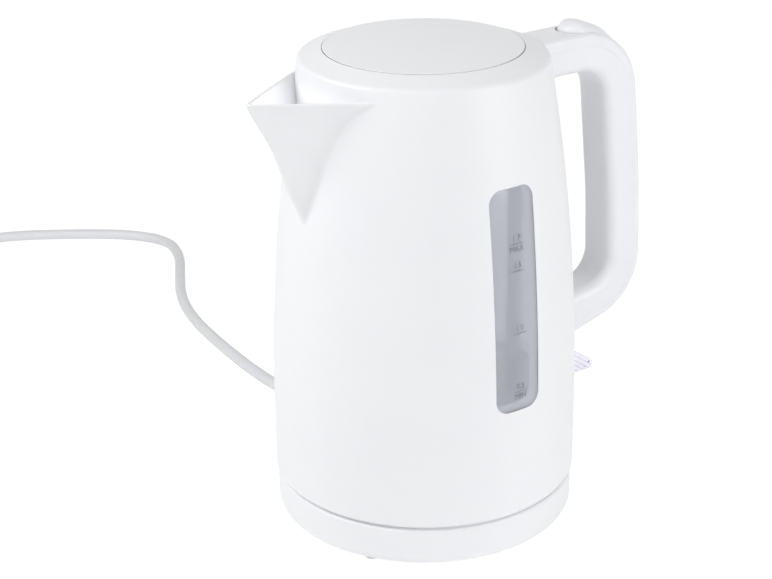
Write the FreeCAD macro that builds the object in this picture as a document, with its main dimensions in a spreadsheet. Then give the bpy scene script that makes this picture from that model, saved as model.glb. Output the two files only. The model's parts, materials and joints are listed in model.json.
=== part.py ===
# Electric kettle: a white moulded jug with a vee spout, loop handle, hinged lid and water window,
# standing on a round power base with a mains lead. Millimetres, +Z up, origin on the jug's axis at
# the table, handle towards +X, spout towards -X, water window towards -Y.
import FreeCAD, Part
import math
import os
import re
import Sketcher
from FreeCAD import Placement, Rotation, Vector

SIZES = {
    # jug shell
    "body_r": 76.85, "wall": 2.5, "jug_low_z": 25.0, "barrel_z": 149.4, "barrel_bend_r": 1040.0,
    "barrel_inner_r": 890.0, "shoulder_r": 60.6, "shoulder_z": 241.3, "shoulder_round": 3.0,
    "foot_round": 2.0, "ledge_r": 67.5, "ledge_z": 65.2, "ledge_thick": 2.3,
    "hole_r": 49.0, "hole_z": 245.3, "seat_depth": 2.1, "roof_thick": 2.75,
    "cover_boss_r": 5.0, "cover_boss_low_z": 30.3, "cover_boss_tall": 18.0, "cover_ring_r": 69.85,
    # spout: a vee whose plan is the same all the way down and whose ridge leans out
    "tip_x": -101.2, "lip_z": 234.4, "vee_low_z": 158.0, "ridge_lean": 0.432, "vee_reach": 58.0,
    "vee_half": 39.5, "tip_round": 1.8, "ridge_round": 3.6, "spout_wall": 1.4, "crease_low": 2.5,
    "crease_high": 4.5, "spout_root": 45.0, "mouth_low_z": 178.0, "mouth_high_z": 221.0,
    # water window
    "window_half": 12.9, "window_low_z": 81.8, "window_high_z": 193.0, "window_round": 7.0,
    # handle
    "grip_half": 12.0, "arm_top_z": 237.5, "arm_low_z": 217.0, "grip_top_x": 126.4, "grip_mid_x": 135.1,
    "grip_mid_z": 152.0, "grip_low_x": 138.4, "grip_low_z": 85.0, "arm_root_x": 40.0,
    "low_root_z": 60.0, "palm_top_x": 105.9, "palm_mid_x": 113.4, "palm_mid_z": 143.0,
    "palm_low_x": 115.0, "palm_low_z": 100.0, "palm_root_z": 88.2, "outer_round": 38.0,
    "lower_round": 34.0, "palm_round": 15.0, "palm_low_round": 14.0, "grip_bow": 400.0, "palm_bow": 250.0,
    "edge_arm": 2.4, "edge_outer": 4.5, "edge_inner": 6.0, "cover_depth": 6.2, "cover_gap": 0.05,
    "grip_wall": 3.0, "grip_cheek": 3.5, "hollow_low_z": 111.0, "grip_screw_low_z": 58.0,
    "grip_screw_high_z": 80.0,
    # lid and its concealed hinge
    "lid_gap": 0.6, "lid_edge_z": 245.7, "lid_top_z": 246.9, "lid_thick": 2.2, "lid_round": 0.35,
    "rim_wide": 4.5, "dome_bend_r": 800.0, "pan_r": 45.0, "pan_low_z": 236.5, "pan_wall": 1.5, "pan_lip": 1.4,
    "hinge_x": 57.0, "hinge_z": 235.5, "hinge_pin_r": 1.5, "running": 0.05, "lug_reach": 3.0,
    "arm_out": 8.0, "arm_in": 4.0, "lug_out": 12.0, "lug_in": 8.5, "knuckle_r": 3.2,
    "neck_reach": 18.2, "neck_drop": 17.9, "neck_thick": 4.2, "neck_half": 2.85, "catch_drop": 6.7,
    "catch_thick": 2.6, "coil_r": 2.7, "coil_core_r": 1.8, "coil_half": 3.5,
    # lid button and latch hook
    "button_half": 8.8, "button_front_x": 86.6, "button_peak_z": 243.0, "button_tail_x": 118.2,
    "button_tail_z": 228.6, "button_bend_x": 97.0, "button_bend_z": 242.3, "button_fall_x": 109.5,
    "button_fall_z": 237.0, "button_heel_z": 223.6, "button_sink": 3.6, "button_gap": 0.4,
    "button_swing": 1.3, "button_travel": 7.4, "button_round": 6.0, "tail_round": 3.0, "nose_round": 8.0,
    "stem_x": 88.0, "trunnion_x": 114.5, "trunnion_z": 226.2, "trunnion_r": 1.2, "trunnion_long": 1.6,
    "hook_half": 3.0, "hook_low_z": 223.6, "hook_high_z": 230.8, "hook_tooth_x": 50.4, "hook_end_x": 93.0,
    "hook_thick": 2.6, "hook_tooth_tall": 4.8, "hook_post": 5.5, "latch_spring_x": 74.0,
    "latch_spring_r": 2.6,
    # filter
    "filter_half": 34.0, "filter_low_z": 174.0, "filter_high_z": 234.0, "filter_border": 5.0,
    "filter_shift": 3.4, "filter_thick": 2.4, "filter_gap": 0.6, "mesh_inset": 0.9, "mesh_thick": 0.5,
    # heating and control
    "plate_z": 63.6, "plate_thick": 0.8, "plate_r": 72.0, "seal_low_z": 62.1, "seal_r": 74.1,
    "diffuser_r": 45.0, "diffuser_thick": 3.0, "element_r": 38.0, "element_tube_r": 3.3, "cold_pin_r": 2.0,
    "cold_pin_long": 10.0, "control_r": 26.0, "control_high_z": 50.0, "socket_r": 14.0, "socket_high_z": 41.0,
    "contact_pin_r": 2.6, "contact_low_z": 30.0, "ring_low_z": 33.0, "ring_tall": 6.0, "ring_thick": 0.6,
    "disc_r": 10.0, "disc_thick": 0.6, "cover_low_z": 25.7, "cover_thick": 2.5, "cover_hole_r": 18.0,
    "cover_rim_z": 30.0, "cover_gap_r": 0.15, "cover_rim_thick": 2.25,
    "steam_x": 59.0, "steam_r": 4.0, "steam_high_z": 206.0, "steam_wall": 1.0, "steam_tail": 2.6,
    # switch
    "pivot_x": 66.0, "pivot_z": 54.5, "pivot_r": 1.5, "paddle_half": 12.0, "paddle_tip_x": 105.0,
    "paddle_low_z": 50.8, "paddle_high_z": 60.4, "paddle_bend_x": 89.5, "paddle_crest_z": 65.2,
    "paddle_inner": 3.6, "slot_gap": 0.6,
    "bracket_half": 15.2, "bracket_x": 52.0, "bracket_long": 17.0, "bracket_tall": 31.0, "bracket_wall": 2.4,
    "trip_x": 62.0, "trip_z": 45.5, "trip_r": 1.0, "trip_half": 2.5, "trip_tall": 4.6, "trip_wide": 5.0,
    # power base
    "base_r": 76.0, "base_low_z": 3.5, "base_high_z": 23.5, "base_round": 5.0, "plateau_z": 25.4,
    "plateau_r": 73.0, "base_wall": 2.5, "base_hole_r": 17.2, "underside_r": 70.4, "underside_z": 5.4,
    "collar_in_r": 17.0, "collar_out_r": 22.0, "collar_z": 18.7, "foot_r": 4.0, "foot_ring_r": 65.5,
    "foot_high_z": 3.0, "screw_ring_r": 45.0, "base_boss_r": 4.0, "screw_r": 1.5, "head_r": 3.0,
    "head_tall": 1.2,
    "plug_r": 12.6, "plug_high_z": 38.8, "plug_bore_r": 4.2, "plug_flange_r": 21.0, "plug_low_z": 19.0,
    "flange_thick": 2.2, "collar_top_z": 27.2, "sleeve_thick": 1.0, "spring_contact_r": 1.2,
    "contact_ring_r": 9.0, "contact_tall": 13.2, "wire_r": 1.2, "wire_z": 9.0, "wire_y": 22.5,
    "clamp_y": 58.0, "clamp_half": 10.0, "clamp_long": 9.0, "clamp_tall": 9.6,
    # lead
    "cord_d": 6.8, "relief_z": 13.2, "relief_end_y": 99.0, "relief_r": 5.5, "relief_flange_r": 7.0,
    "relief_flange_y": 70.0, "relief_flange_long": 3.0, "mains_plug_r": 19.0, "mains_plug_tall": 24.0,
    "mains_pin_r": 2.4, "mains_pin_gap": 9.5, "mains_pin_long": 27.0, "mains_pin_seat": 8.0,
    "plug_boss_r": 5.6, "plug_boss_long": 30.0, "clip_low_z": 6.0, "clip_wide": 4.0,
    "clip_depth": 2.4, "clip_thick": 1.0,
}

# Route of the lead in its own run of points, from the strain relief to the mains plug.
CORD_ROUTE = [
    (0.0, 99.0, 13.2), (1.0, 123.0, 10.0), (3.0, 150.0, 5.2), (5.0, 184.0, 3.45), (8.5, 226.0, 3.45),
    (14.5, 268.0, 3.45), (25.5, 302.0, 3.45), (43.5, 334.5, 3.45), (60.5, 364.0, 3.45),
    (68.5, 393.5, 3.45), (53.0, 421.0, 3.45), (24.0, 444.0, 3.45), (-10.0, 466.5, 3.45),
    (-46.0, 480.0, 3.45), (-82.0, 465.0, 3.45), (-97.0, 432.0, 3.45), (-99.0, 398.0, 3.45),
    (-114.0, 373.0, 3.45), (-141.0, 363.0, 3.45), (-168.0, 371.0, 3.45), (-185.0, 394.0, 4.2),
    (-187.0, 422.0, 6.5),
]
FOOT_ANGLES = [-150.0 + 72.0 * step for step in range(5)]
BASE_SCREW_ANGLES = [45.0, 135.0, 225.0, 315.0]
COVER_SCREW_ANGLES = [60.0, 180.0, 300.0]
AXES = {
    "x": Rotation(Vector(0, 1, 0), 90),
    "y": Rotation(Vector(1, 0, 0), -90),
    "z": Rotation(),
}

doc = FreeCAD.newDocument("Kettle")
sheet = doc.addObject("Spreadsheet::Sheet", "Sizes")
pieces = []


def fill_sheet():
    for row, (alias, number) in enumerate(SIZES.items(), start=1):
        sheet.set(f"A{row}", alias)
        sheet.set(f"B{row}", str(number))
        sheet.setAlias(f"B{row}", alias)
    doc.recompute()


def bound(expression):
    """The expression with each size's name turned into its cell of the sheet."""
    return re.sub(
        r"[a-z][a-z_]*", lambda word: f"Sizes.{word[0]}" if word[0] in SIZES else word[0], str(expression)
    )


def value(expression):
    return float(sheet.evalExpression(str(expression)))


def tie(item, prop, expression):
    item.setExpression(prop, bound(expression))


def put(item, at, axis="z"):
    """Places an item at three expressions, with its own Z turned along the axis."""
    item.Placement = Placement(Vector(*[value(part) for part in at]), AXES[axis])
    for letter, part in zip("xyz", at):
        tie(item, f"Placement.Base.{letter}", part)
    return item


def piece(item, label):
    """Names an item as one sub-part of the kettle."""
    item.Label = label
    pieces.append(item)
    return item


def box(name, low, size):
    item = doc.addObject("Part::Box", name)
    for prop, part in zip(("Length", "Width", "Height"), size):
        tie(item, prop, part)
    return put(item, low)


def cylinder(name, radius, height, at, axis="z"):
    item = doc.addObject("Part::Cylinder", name)
    tie(item, "Radius", radius)
    tie(item, "Height", height)
    return put(item, at, axis)


def cone(name, radius_near, radius_far, height, at, axis="z"):
    item = doc.addObject("Part::Cone", name)
    tie(item, "Radius1", radius_near)
    tie(item, "Radius2", radius_far)
    tie(item, "Height", height)
    return put(item, at, axis)


def fuse(name, *shapes):
    item = doc.addObject("Part::MultiFuse", name)
    item.Shapes = list(shapes)
    return item


def cut(name, base, *tools):
    item = doc.addObject("Part::Cut", name)
    item.Base = base
    item.Tool = tools[0] if len(tools) == 1 else fuse(name + "_tools", *tools)
    return item


def common(name, first, second):
    item = doc.addObject("Part::Common", name)
    item.Base = first
    item.Tool = second
    return item


def group(name, items):
    item = doc.addObject("Part::Compound", name)
    item.Links = list(items)
    return item


def on_ring(radius, angle):
    """Two expressions for the place at an angle on a ring about the kettle's axis."""
    return f"{radius} * cos({angle})", f"{radius} * sin({angle})"


def rounded(before, corner, after, radius):
    """Where a rounded corner starts and ends, and the middle of its arc."""
    arrive = (corner - before).normalize()
    leave = (after - corner).normalize()
    turn = arrive.getAngle(leave)
    reach = radius * math.tan(turn / 2)
    start = corner - arrive * reach
    left = arrive.cross(leave).z > 0
    side = Vector(-arrive.y, arrive.x, 0) * (radius if left else -radius)
    return start, corner + leave * reach, start + side, left


def draw_outline(sketch, corners):
    """Draws a closed outline of lines, with an arc at each corner that has a radius, all bound to sizes."""
    spots = [Vector(value(corner[0]), value(corner[1]), 0) for corner in corners]
    count = len(corners)
    bends = {}
    for index, corner in enumerate(corners):
        if len(corner) > 2:
            bends[index] = rounded(
                spots[index - 1], spots[index], spots[(index + 1) % count], value(corner[2])
            )
    for index in range(count):
        after = (index + 1) % count
        start = bends[index][1] if index in bends else spots[index]
        end = bends[after][0] if after in bends else spots[after]
        sketch.addGeometry(Part.LineSegment(start, end))
    for index, corner in enumerate(corners):
        if index in bends:
            bend_corner(sketch, index, (index - 1) % count, corner, spots[index], bends[index])
        else:
            sketch.addConstraint(Sketcher.Constraint("Coincident", (index - 1) % count, 2, index, 1))
            pin_point(sketch, index, corner, spots[index])


def pin_point(sketch, geometry, corner, spot):
    for kind, size, number in (("DistanceX", corner[0], spot.x), ("DistanceY", corner[1], spot.y)):
        place = sketch.addConstraint(Sketcher.Constraint(kind, geometry, 1, number))
        sketch.setExpression(f"Constraints[{place}]", bound(size))


def bend_corner(sketch, line_out, line_in, corner, spot, bend):
    start, end, middle, left = bend
    first, last = (start, end) if left else (end, start)
    angles = [math.atan2(point.y - middle.y, point.x - middle.x) for point in (first, last)]
    circle = Part.Circle(middle, Vector(0, 0, 1), (start - middle).Length)
    arc = sketch.addGeometry(Part.ArcOfCircle(circle, *angles))
    mark = sketch.addGeometry(Part.Point(spot), True)
    arc_in, arc_out = (1, 2) if left else (2, 1)
    sketch.addConstraint(Sketcher.Constraint("Tangent", line_in, 2, arc, arc_in))
    sketch.addConstraint(Sketcher.Constraint("Tangent", arc, arc_out, line_out, 1))
    sketch.addConstraint(Sketcher.Constraint("PointOnObject", mark, 1, line_in))
    sketch.addConstraint(Sketcher.Constraint("PointOnObject", mark, 1, line_out))
    pin_point(sketch, mark, corner, spot)
    place = sketch.addConstraint(Sketcher.Constraint("Radius", arc, value(corner[2])))
    sketch.setExpression(f"Constraints[{place}]", bound(corner[2]))


def new_body(name):
    return doc.addObject("PartDesign::Body", name)


def outline(body, plane, corners, lift="0"):
    sketch = body.newObject("Sketcher::SketchObject", body.Name + "_outline")
    support = [item for item in body.Origin.OriginFeatures if item.Role == plane]
    sketch.AttachmentSupport = [(support[0], "")]
    sketch.MapMode = "FlatFace"
    sketch.AttachmentOffset = Placement(Vector(0, 0, value(lift)), Rotation())
    tie(sketch, "AttachmentOffset.Base.z", lift)
    draw_outline(sketch, corners)
    return sketch


def revolved(name, corners):
    """A body turned about the kettle's axis from its half section (radius, height[, rounding])."""
    body = new_body(name)
    turn = body.newObject("PartDesign::Revolution", name + "_turn")
    sketch = outline(body, "XZ_Plane", corners)
    turn.Profile = sketch
    turn.ReferenceAxis = (sketch, ["V_Axis"])
    turn.Angle = 360
    body.Tip = turn
    return body


def slab(name, corners, half):
    """A body of an outline in the XZ plane, as thick each side of that plane as half says."""
    body = new_body(name)
    sketch = outline(body, "XZ_Plane", corners)
    pad = body.newObject("PartDesign::Pad", name + "_pad")
    pad.Profile = sketch
    pad.SideType = "Symmetric"
    pad.Length = 2 * value(half)
    tie(pad, "Length", f"2 * ({half})")
    return body


def prism(name, plane, corners, length, lift="0"):
    """A body of an outline padded from the lifted plane along its normal."""
    body = new_body(name)
    sketch = outline(body, plane, corners, lift)
    pad = body.newObject("PartDesign::Pad", name + "_pad")
    pad.Profile = sketch
    pad.Length = value(length)
    tie(pad, "Length", length)
    return body


def round_edges(body, chosen, radius):
    """Rounds the edges of a body's tip that the test picks."""
    doc.recompute()
    base = body.Tip
    names = [f"Edge{i}" for i, edge in enumerate(base.Shape.Edges, start=1) if chosen(edge)]
    fillet = body.newObject("PartDesign::Fillet", base.Name + "_round")
    fillet.Base = (base, names)
    fillet.Radius = value(radius)
    tie(fillet, "Radius", radius)
    return body


# Jug
def barrel(inset, bend):
    """The bulging corner of the jug's side, drawn in by the wall where it is the inside."""
    return ("body_r - " + inset, "barrel_z - 0.09 * " + inset, bend)


def jug_envelope():
    return revolved("jug_envelope", [
        ("0", "jug_low_z"), ("body_r", "jug_low_z", "foot_round"), barrel("0", "barrel_bend_r"),
        ("shoulder_r", "shoulder_z", "shoulder_round"), ("hole_r", "hole_z"), ("0", "hole_z"),
    ])


def jug_shell():
    """Side, shoulder and conical lid seat in one moulding, with a ledge for the element's seal."""
    return revolved("jug_shell", [
        ("body_r - wall", "jug_low_z"), ("body_r", "jug_low_z", "foot_round"), barrel("0", "barrel_bend_r"),
        ("shoulder_r", "shoulder_z", "shoulder_round"), ("hole_r", "hole_z"),
        ("hole_r - seat_depth", "hole_z - seat_depth"), ("hole_r - seat_depth", "hole_z - 1.35 * roof_thick"),
        ("shoulder_r - wall", "shoulder_z - roof_thick"), barrel("wall", "barrel_inner_r"),
        ("body_r - wall", "ledge_z + ledge_thick"), ("ledge_r", "ledge_z + ledge_thick"),
        ("ledge_r", "ledge_z"), ("body_r - wall", "ledge_z"),
    ])


def vee(name, inset):
    """A leaning vee wedge: its plan slides in along the ridge on the way down."""
    body = new_body(name)
    loft = body.newObject("PartDesign::AdditiveLoft", name + "_loft")
    sections = []
    for level, rounding in (("vee_low_z", "ridge_round"), ("lip_z", "tip_round")):
        nose = f"tip_x + ridge_lean * (lip_z - {level}) + {inset} * 1.75"
        back = f"tip_x + ridge_lean * (lip_z - {level}) + vee_reach"
        half = f"vee_half - {inset} * 1.2"
        sections.append(outline(body, "XY_Plane", [
            (nose, "0", f"{rounding} - {inset}"), (back, f"-({half})"), (back, half),
        ], level))
    loft.Profile = sections[0]
    loft.Sections = sections[1:]
    loft.Ruled = True
    body.Tip = loft
    return body


def window_tool():
    return prism("window_tool", "XZ_Plane", [
        ("-window_half", "window_low_z", "window_round"), ("window_half", "window_low_z", "window_round"),
        ("window_half", "window_high_z", "window_round"), ("-window_half", "window_high_z", "window_round"),
    ], "body_r + 10")


def hinge_lugs():
    """Two ears under the roof that carry the lid's pin."""
    ears = slab("hinge_ears", [
        ("hinge_x - 1.3 * lug_reach", "hinge_z + 1.9 * lug_reach"),
        ("hinge_x + 0.6 * lug_reach", "hinge_z + 1.3 * lug_reach"),
        ("hinge_x + lug_reach", "hinge_z + 0.2 * lug_reach"),
        ("hinge_x + lug_reach", "hinge_z - knuckle_r", "2"),
        ("hinge_x - 1.3 * lug_reach", "hinge_z - knuckle_r", "2"),
    ], "lug_out")
    gap = box("ear_gap", ("hinge_x - 10", "-lug_in", "hinge_z - 10"), ("20", "2 * lug_in", "20"))
    return cut("hinge_lugs", ears, gap)


def cover_bosses():
    """Posts on the jug's inside wall that take the bottom cover's screws."""
    return [
        cylinder(f"cover_boss_{i}", "cover_boss_r", "cover_boss_tall",
                 (*on_ring("cover_ring_r", angle), "cover_boss_low_z"))
        for i, angle in enumerate(COVER_SCREW_ANGLES)
    ]


def spout_crease(edge):
    """True for the edges where the spout's sides run into the jug's side."""
    span = edge.BoundBox
    if span.XMax > -value("spout_root") or span.ZMin < value("vee_low_z") or span.ZLength < 1:
        return False
    return all(on_jug_side(point) for point in edge.discretize(9))


def on_jug_side(point):
    """Whether a point lies on the jug's bulging outside."""
    bend = value("barrel_bend_r")
    lean = math.atan((value("body_r") - value("shoulder_r")) / (value("shoulder_z") - value("barrel_z")))
    rise = point.z - value("barrel_z") + bend * math.tan(lean / 2)
    radius = value("body_r") - bend + math.sqrt(bend ** 2 - rise ** 2)
    return abs(math.hypot(point.x, point.y) - radius) < 0.5


def flare(edge, low, high):
    """Fillet radii at an edge's start and end, low at its lower end and high at its upper end."""
    first, last = (edge.valueAt(spot).z for spot in (edge.FirstParameter, edge.LastParameter))
    if abs(first - last) < 0.1:
        return value(low), value(low)
    return (value(low), value(high)) if first < last else (value(high), value(low))


def blended_spout(shell):
    """Jug shell and spout in one, with a soft crease between them."""
    joined = fuse("spout_on_shell", shell, cut("spout_outside", vee("vee_outer", "0"), inner_core()))
    doc.recompute()
    blend = doc.addObject("Part::Fillet", "spout_blend")
    blend.Base = joined
    creases = [pair for pair in enumerate(joined.Shape.Edges, start=1) if spout_crease(pair[1])]
    blend.Edges = [(number, *flare(edge, "crease_low", "crease_high")) for number, edge in creases]
    return blend


def make_jug(envelope):
    shell = jug_shell()
    window = window_tool()
    bosses = [common(f"boss_{i}", boss, envelope) for i, boss in enumerate(cover_bosses())]
    walls = fuse("jug_walls", blended_spout(shell), *bosses, hinge_lugs())
    inner_vee = vee("vee_inner", "spout_wall")
    channel = cut("spout_channel", inner_vee, envelope)
    mouth_side = box("mouth_side", ("tip_x", "-vee_half", "mouth_low_z"),
                     ("tip_x * -0.5", "2 * vee_half", "mouth_high_z - mouth_low_z"))
    mouth = common("spout_mouth", inner_vee, mouth_side)
    hinge_slot = box("hinge_slot", ("hinge_x - 1", "-lug_in + 0.2", "arm_low_z + grip_wall - 0.2"),
                     ("10", "2 * lug_in - 0.4", "arm_top_z - arm_low_z - 1.3"))
    switch_slot = box("switch_slot", ("pivot_x + 4", "-paddle_half - slot_gap", "paddle_low_z - 1"),
                      ("body_r - pivot_x", "2 * (paddle_half + slot_gap)", "seal_low_z - paddle_low_z + 0.9"))
    pin_bore = cylinder("hinge_bore", "hinge_pin_r", "2 * lug_out + 2",
                        ("hinge_x", "-lug_out - 1", "hinge_z"), "y")
    screws = [
        cylinder(f"cover_bore_{i}", "screw_r", "14", (*on_ring("cover_ring_r", angle), "cover_rim_z"))
        for i, angle in enumerate(COVER_SCREW_ANGLES)
    ]
    cuts = [window, channel, mouth, hinge_slot, switch_slot, pin_bore, *screws]
    piece(cut("jug_body", walls, *cuts), "jug_body")
    piece(common("level_window", shell, window), "level_window")


def inner_core():
    """The jug's inside space, which the spout's outside must not fill."""
    return revolved("inner_core", [
        ("0", "jug_low_z"), ("body_r - wall", "jug_low_z"), barrel("wall", "barrel_inner_r"),
        ("shoulder_r - wall", "shoulder_z - roof_thick"), ("0", "shoulder_z - roof_thick"),
    ])


# Handle
def grip_outline(inset):
    """The handle's loop, drawn in by the inset all round."""
    return [
        ("arm_root_x", f"arm_top_z - {inset}"),
        (f"grip_top_x - {inset}", f"arm_top_z - {inset}", f"outer_round - {inset}"),
        (f"grip_mid_x - {inset}", "grip_mid_z", "grip_bow"),
        (f"grip_low_x - {inset}", f"grip_low_z + {inset} * 0.8", f"lower_round - {inset}"),
        ("arm_root_x", f"low_root_z + {inset}"),
    ]


def palm_outline():
    """The inside of the loop, from the lower root up to the top arm."""
    return [
        ("arm_root_x", "palm_root_z"),
        ("palm_low_x", "palm_low_z", "palm_low_round"),
        ("palm_mid_x", "palm_mid_z", "palm_bow"),
        ("palm_top_x", "arm_low_z", "palm_round"),
        ("arm_root_x", "arm_low_z"),
    ]


def on_side(edge):
    return all(abs(abs(vertex.Y) - value("grip_half")) < 1e-4 for vertex in edge.Vertexes)


def outer_edge(edge):
    middle = edge.CenterOfMass
    return on_side(edge) and (middle.x > value("palm_low_x") + 8 or middle.z > value("arm_low_z") + 8)


def arm_flare(edge):
    """Crisp along the top arm, growing round the corner to the grip's full rounding."""
    if edge.BoundBox.ZMin > value("arm_top_z") - 0.1:
        return value("edge_arm"), value("edge_arm")
    if edge.BoundBox.ZMax > value("arm_top_z") - 0.1:
        return flare(edge, "edge_outer", "edge_arm")
    return value("edge_outer"), value("edge_outer")


def inner_edge(edge):
    middle = edge.CenterOfMass
    inside = value("arm_root_x") + 4 < middle.x < value("palm_low_x") + 3
    return on_side(edge) and inside and value("palm_root_z") - 2 < middle.z < value("arm_low_z") + 1


def handle_hollow():
    """The space inside the top arm and the grip, which the latch hook runs in."""
    return slab("handle_hollow", grip_outline("grip_wall")[:3] + [
        ("grip_low_x - grip_wall", "hollow_low_z"),
        ("palm_low_x + grip_wall", "hollow_low_z + grip_wall"),
        ("palm_mid_x + grip_wall", "palm_mid_z"),
        ("palm_top_x + grip_wall", "arm_low_z + grip_wall", "palm_round"),
        ("arm_root_x", "arm_low_z + grip_wall"),
    ], "grip_half - grip_cheek")


def button_plan(name, front, gap):
    """A tall block of the button's plan, with its round nose towards the lid."""
    half, tail = f"(button_half + {gap})", f"button_tail_x + {gap}"
    nose = f"nose_round + {gap}"
    return prism(name, "XY_Plane", [
        (front, f"-{half}", nose), (tail, f"-{half}"), (tail, half), (front, half, nose),
    ], "40", "button_tail_z - 10")


def button_pocket():
    side = slab("pocket_side", [
        ("button_front_x - 4", "button_peak_z + 8"), ("button_front_x - 4", "arm_top_z - button_travel"),
        ("button_bend_x + 4", "arm_top_z - button_travel"), ("trunnion_x - 3", "button_heel_z - 1.6"),
        ("button_tail_x + 4", "button_heel_z - 1.6"), ("button_tail_x + 4", "button_peak_z + 8"),
    ], "button_half + 2")
    return common("button_pocket", side,
                  button_plan("pocket_plan", "button_front_x - button_swing", "button_gap"))


def cover_limit(name, depth):
    """What lies deeper in the handle than its outer cover."""
    middle = ("arm_root_x", "0.5 * (low_root_z + arm_top_z)")
    return slab(name, grip_outline(depth) + [middle], "grip_half + cover_depth")


def make_handle(envelope):
    loop = slab("handle_loop", grip_outline("0") + palm_outline(), "grip_half")
    round_edges(loop, inner_edge, "edge_inner")
    doc.recompute()
    rounded_loop = doc.addObject("Part::Fillet", "handle_rounded")
    rounded_loop.Base = loop
    outside = [pair for pair in enumerate(loop.Shape.Edges, start=1) if outer_edge(pair[1])]
    rounded_loop.Edges = [(number, *arm_flare(edge)) for number, edge in outside]
    screws, bores = [], []
    for i, (x, z) in enumerate((("90", "76"), ("103", "78.5"))):
        tall = f"{z} - grip_screw_low_z"
        bores += [cylinder(f"grip_bore_{i}", "screw_r", "grip_screw_high_z - grip_screw_low_z",
                           (x, "0", "grip_screw_low_z")),
                  cylinder(f"grip_sink_{i}", "head_r + 0.2", tall, (x, "0", "grip_screw_low_z"))]
        head = cylinder(f"grip_screw_head_{i}", "head_r", "head_tall", (x, "0", f"{z} - head_tall"))
        shank = cylinder(f"grip_screw_shank_{i}", "screw_r", f"grip_screw_high_z - {z}", (x, "0", z))
        screws.append(fuse(f"grip_screw_{i}", head, shank))
    reach = "button_half + trunnion_long + 0.3"
    bores.append(cylinder("trunnion_bore", "trunnion_r + running", f"2 * ({reach})",
                          ("trunnion_x", f"-({reach})", "trunnion_z"), "y"))
    whole = cut("handle_whole", rounded_loop, handle_hollow(), envelope, button_pocket(), *bores)
    inside = cover_limit("cover_reach", "(cover_depth - cover_gap)")
    piece(cut("handle_cover", whole, inside), "handle_cover")
    piece(common("handle_inner", whole, cover_limit("inner_reach", "cover_depth")), "handle_inner")
    piece(group("handle_screws", screws), "handle_screws")


# Lid
def make_lid():
    rim = "hole_r - lid_gap"
    seat_z = "hole_z - seat_depth"
    piece(revolved("lid_cover", [
        ("0", "lid_top_z"), ("0", "lid_top_z - lid_thick"),
        (f"{rim} - rim_wide", "lid_edge_z - lid_thick + 0.2"), (f"{rim} - rim_wide", seat_z),
        (f"{rim} - seat_depth", seat_z), (rim, "hole_z"), (rim, "lid_edge_z", "lid_round"),
        ("0.48 * hole_r", "lid_top_z", "dome_bend_r"),
    ]), "lid_cover")
    pan = revolved("pan_dish", [
        ("0", "pan_low_z"), ("pan_r - 5", "pan_low_z", "2"), ("pan_r - 4", f"{seat_z} - pan_lip"),
        ("pan_r", f"{seat_z} - pan_lip"), ("pan_r", seat_z), ("pan_r - 5.6", seat_z),
        ("pan_r - 6.6", "pan_low_z + pan_wall"), ("0", "pan_low_z + pan_wall"),
    ])
    knuckle = cylinder("lid_knuckle", "knuckle_r", "2 * arm_out", ("hinge_x", "-arm_out", "hinge_z"), "y")
    spread = box("arm_spread", ("hinge_x - 30", "-arm_in", "hinge_z - 25"), ("40", "2 * arm_in", "34"))
    bore = cylinder("knuckle_bore", "hinge_pin_r + running", "40", ("hinge_x", "-20", "hinge_z"), "y")
    bar = box("catch_bar", ("hinge_x - catch_thick", "-arm_in", "hinge_z - catch_drop"),
              ("catch_thick", "2 * arm_in", "catch_thick + 0.1"))
    pair = cut("lid_arm_pair", fuse("lid_arm_blank", goosenecks(), knuckle), spread, bore)
    piece(fuse("lid_pan", pan, pair, bar), "lid_pan")
    piece(cylinder("lid_hinge_pin", "hinge_pin_r", "2 * lug_out", ("hinge_x", "-lug_out", "hinge_z"), "y"),
          "lid_hinge_pin")
    coil = cylinder("spring_coil", "coil_r", "2 * coil_half", ("hinge_x", "-coil_half", "hinge_z"), "y")
    core = cylinder("spring_core", "coil_core_r", "2 * coil_half + 1",
                    ("hinge_x", "-coil_half - 0.5", "hinge_z"), "y")
    leg = box("spring_leg", ("hinge_x - 0.5", "-coil_half", "hinge_z + coil_r - 0.7"), ("1", "1", "1.3"))
    piece(fuse("lid_spring", cut("spring_turns", coil, core), leg), "lid_spring")


def goosenecks():
    """Arms from the lid's pan that reach down under the roof and up again to the pin."""
    top = "hole_z - seat_depth - 0.6"
    low, inner_low = "hinge_z - neck_drop", "hinge_z - neck_drop + neck_thick"
    return slab("lid_arms", [
        ("hinge_x - neck_reach", top), ("hinge_x - neck_reach", low, "14"),
        ("hinge_x + neck_half", low, "2"), ("hinge_x + neck_half", "hinge_z + 0.5"),
        ("hinge_x - neck_half", "hinge_z + 0.5"), ("hinge_x - neck_half", inner_low, "2"),
        ("hinge_x - neck_reach + neck_thick", inner_low, "9"), ("hinge_x - neck_reach + neck_thick", top),
    ], "arm_out")


def button_rim(edge):
    """True for the edge along the button's sides and round its nose, above the handle."""
    middle, span = edge.CenterOfMass, edge.BoundBox
    crossing = span.YLength > 2 * value("button_half") - 1
    upright = span.XLength < 0.1 and span.YLength < 0.1
    fall = (value("arm_top_z") - value("button_tail_z")) / (value("button_tail_x") - value("button_front_x"))
    handle_z = value("arm_top_z") - fall * (middle.x - value("button_front_x"))
    return middle.z > handle_z + 1 and not crossing and not upright


def rim_flare(edge):
    """The dome's rounding, which tightens along the straight fall to the tail."""
    if edge.BoundBox.XMax > value("button_tail_x") - 0.1:
        return flare(edge, "tail_round", "button_round")
    return value("button_round"), value("button_round")


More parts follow.
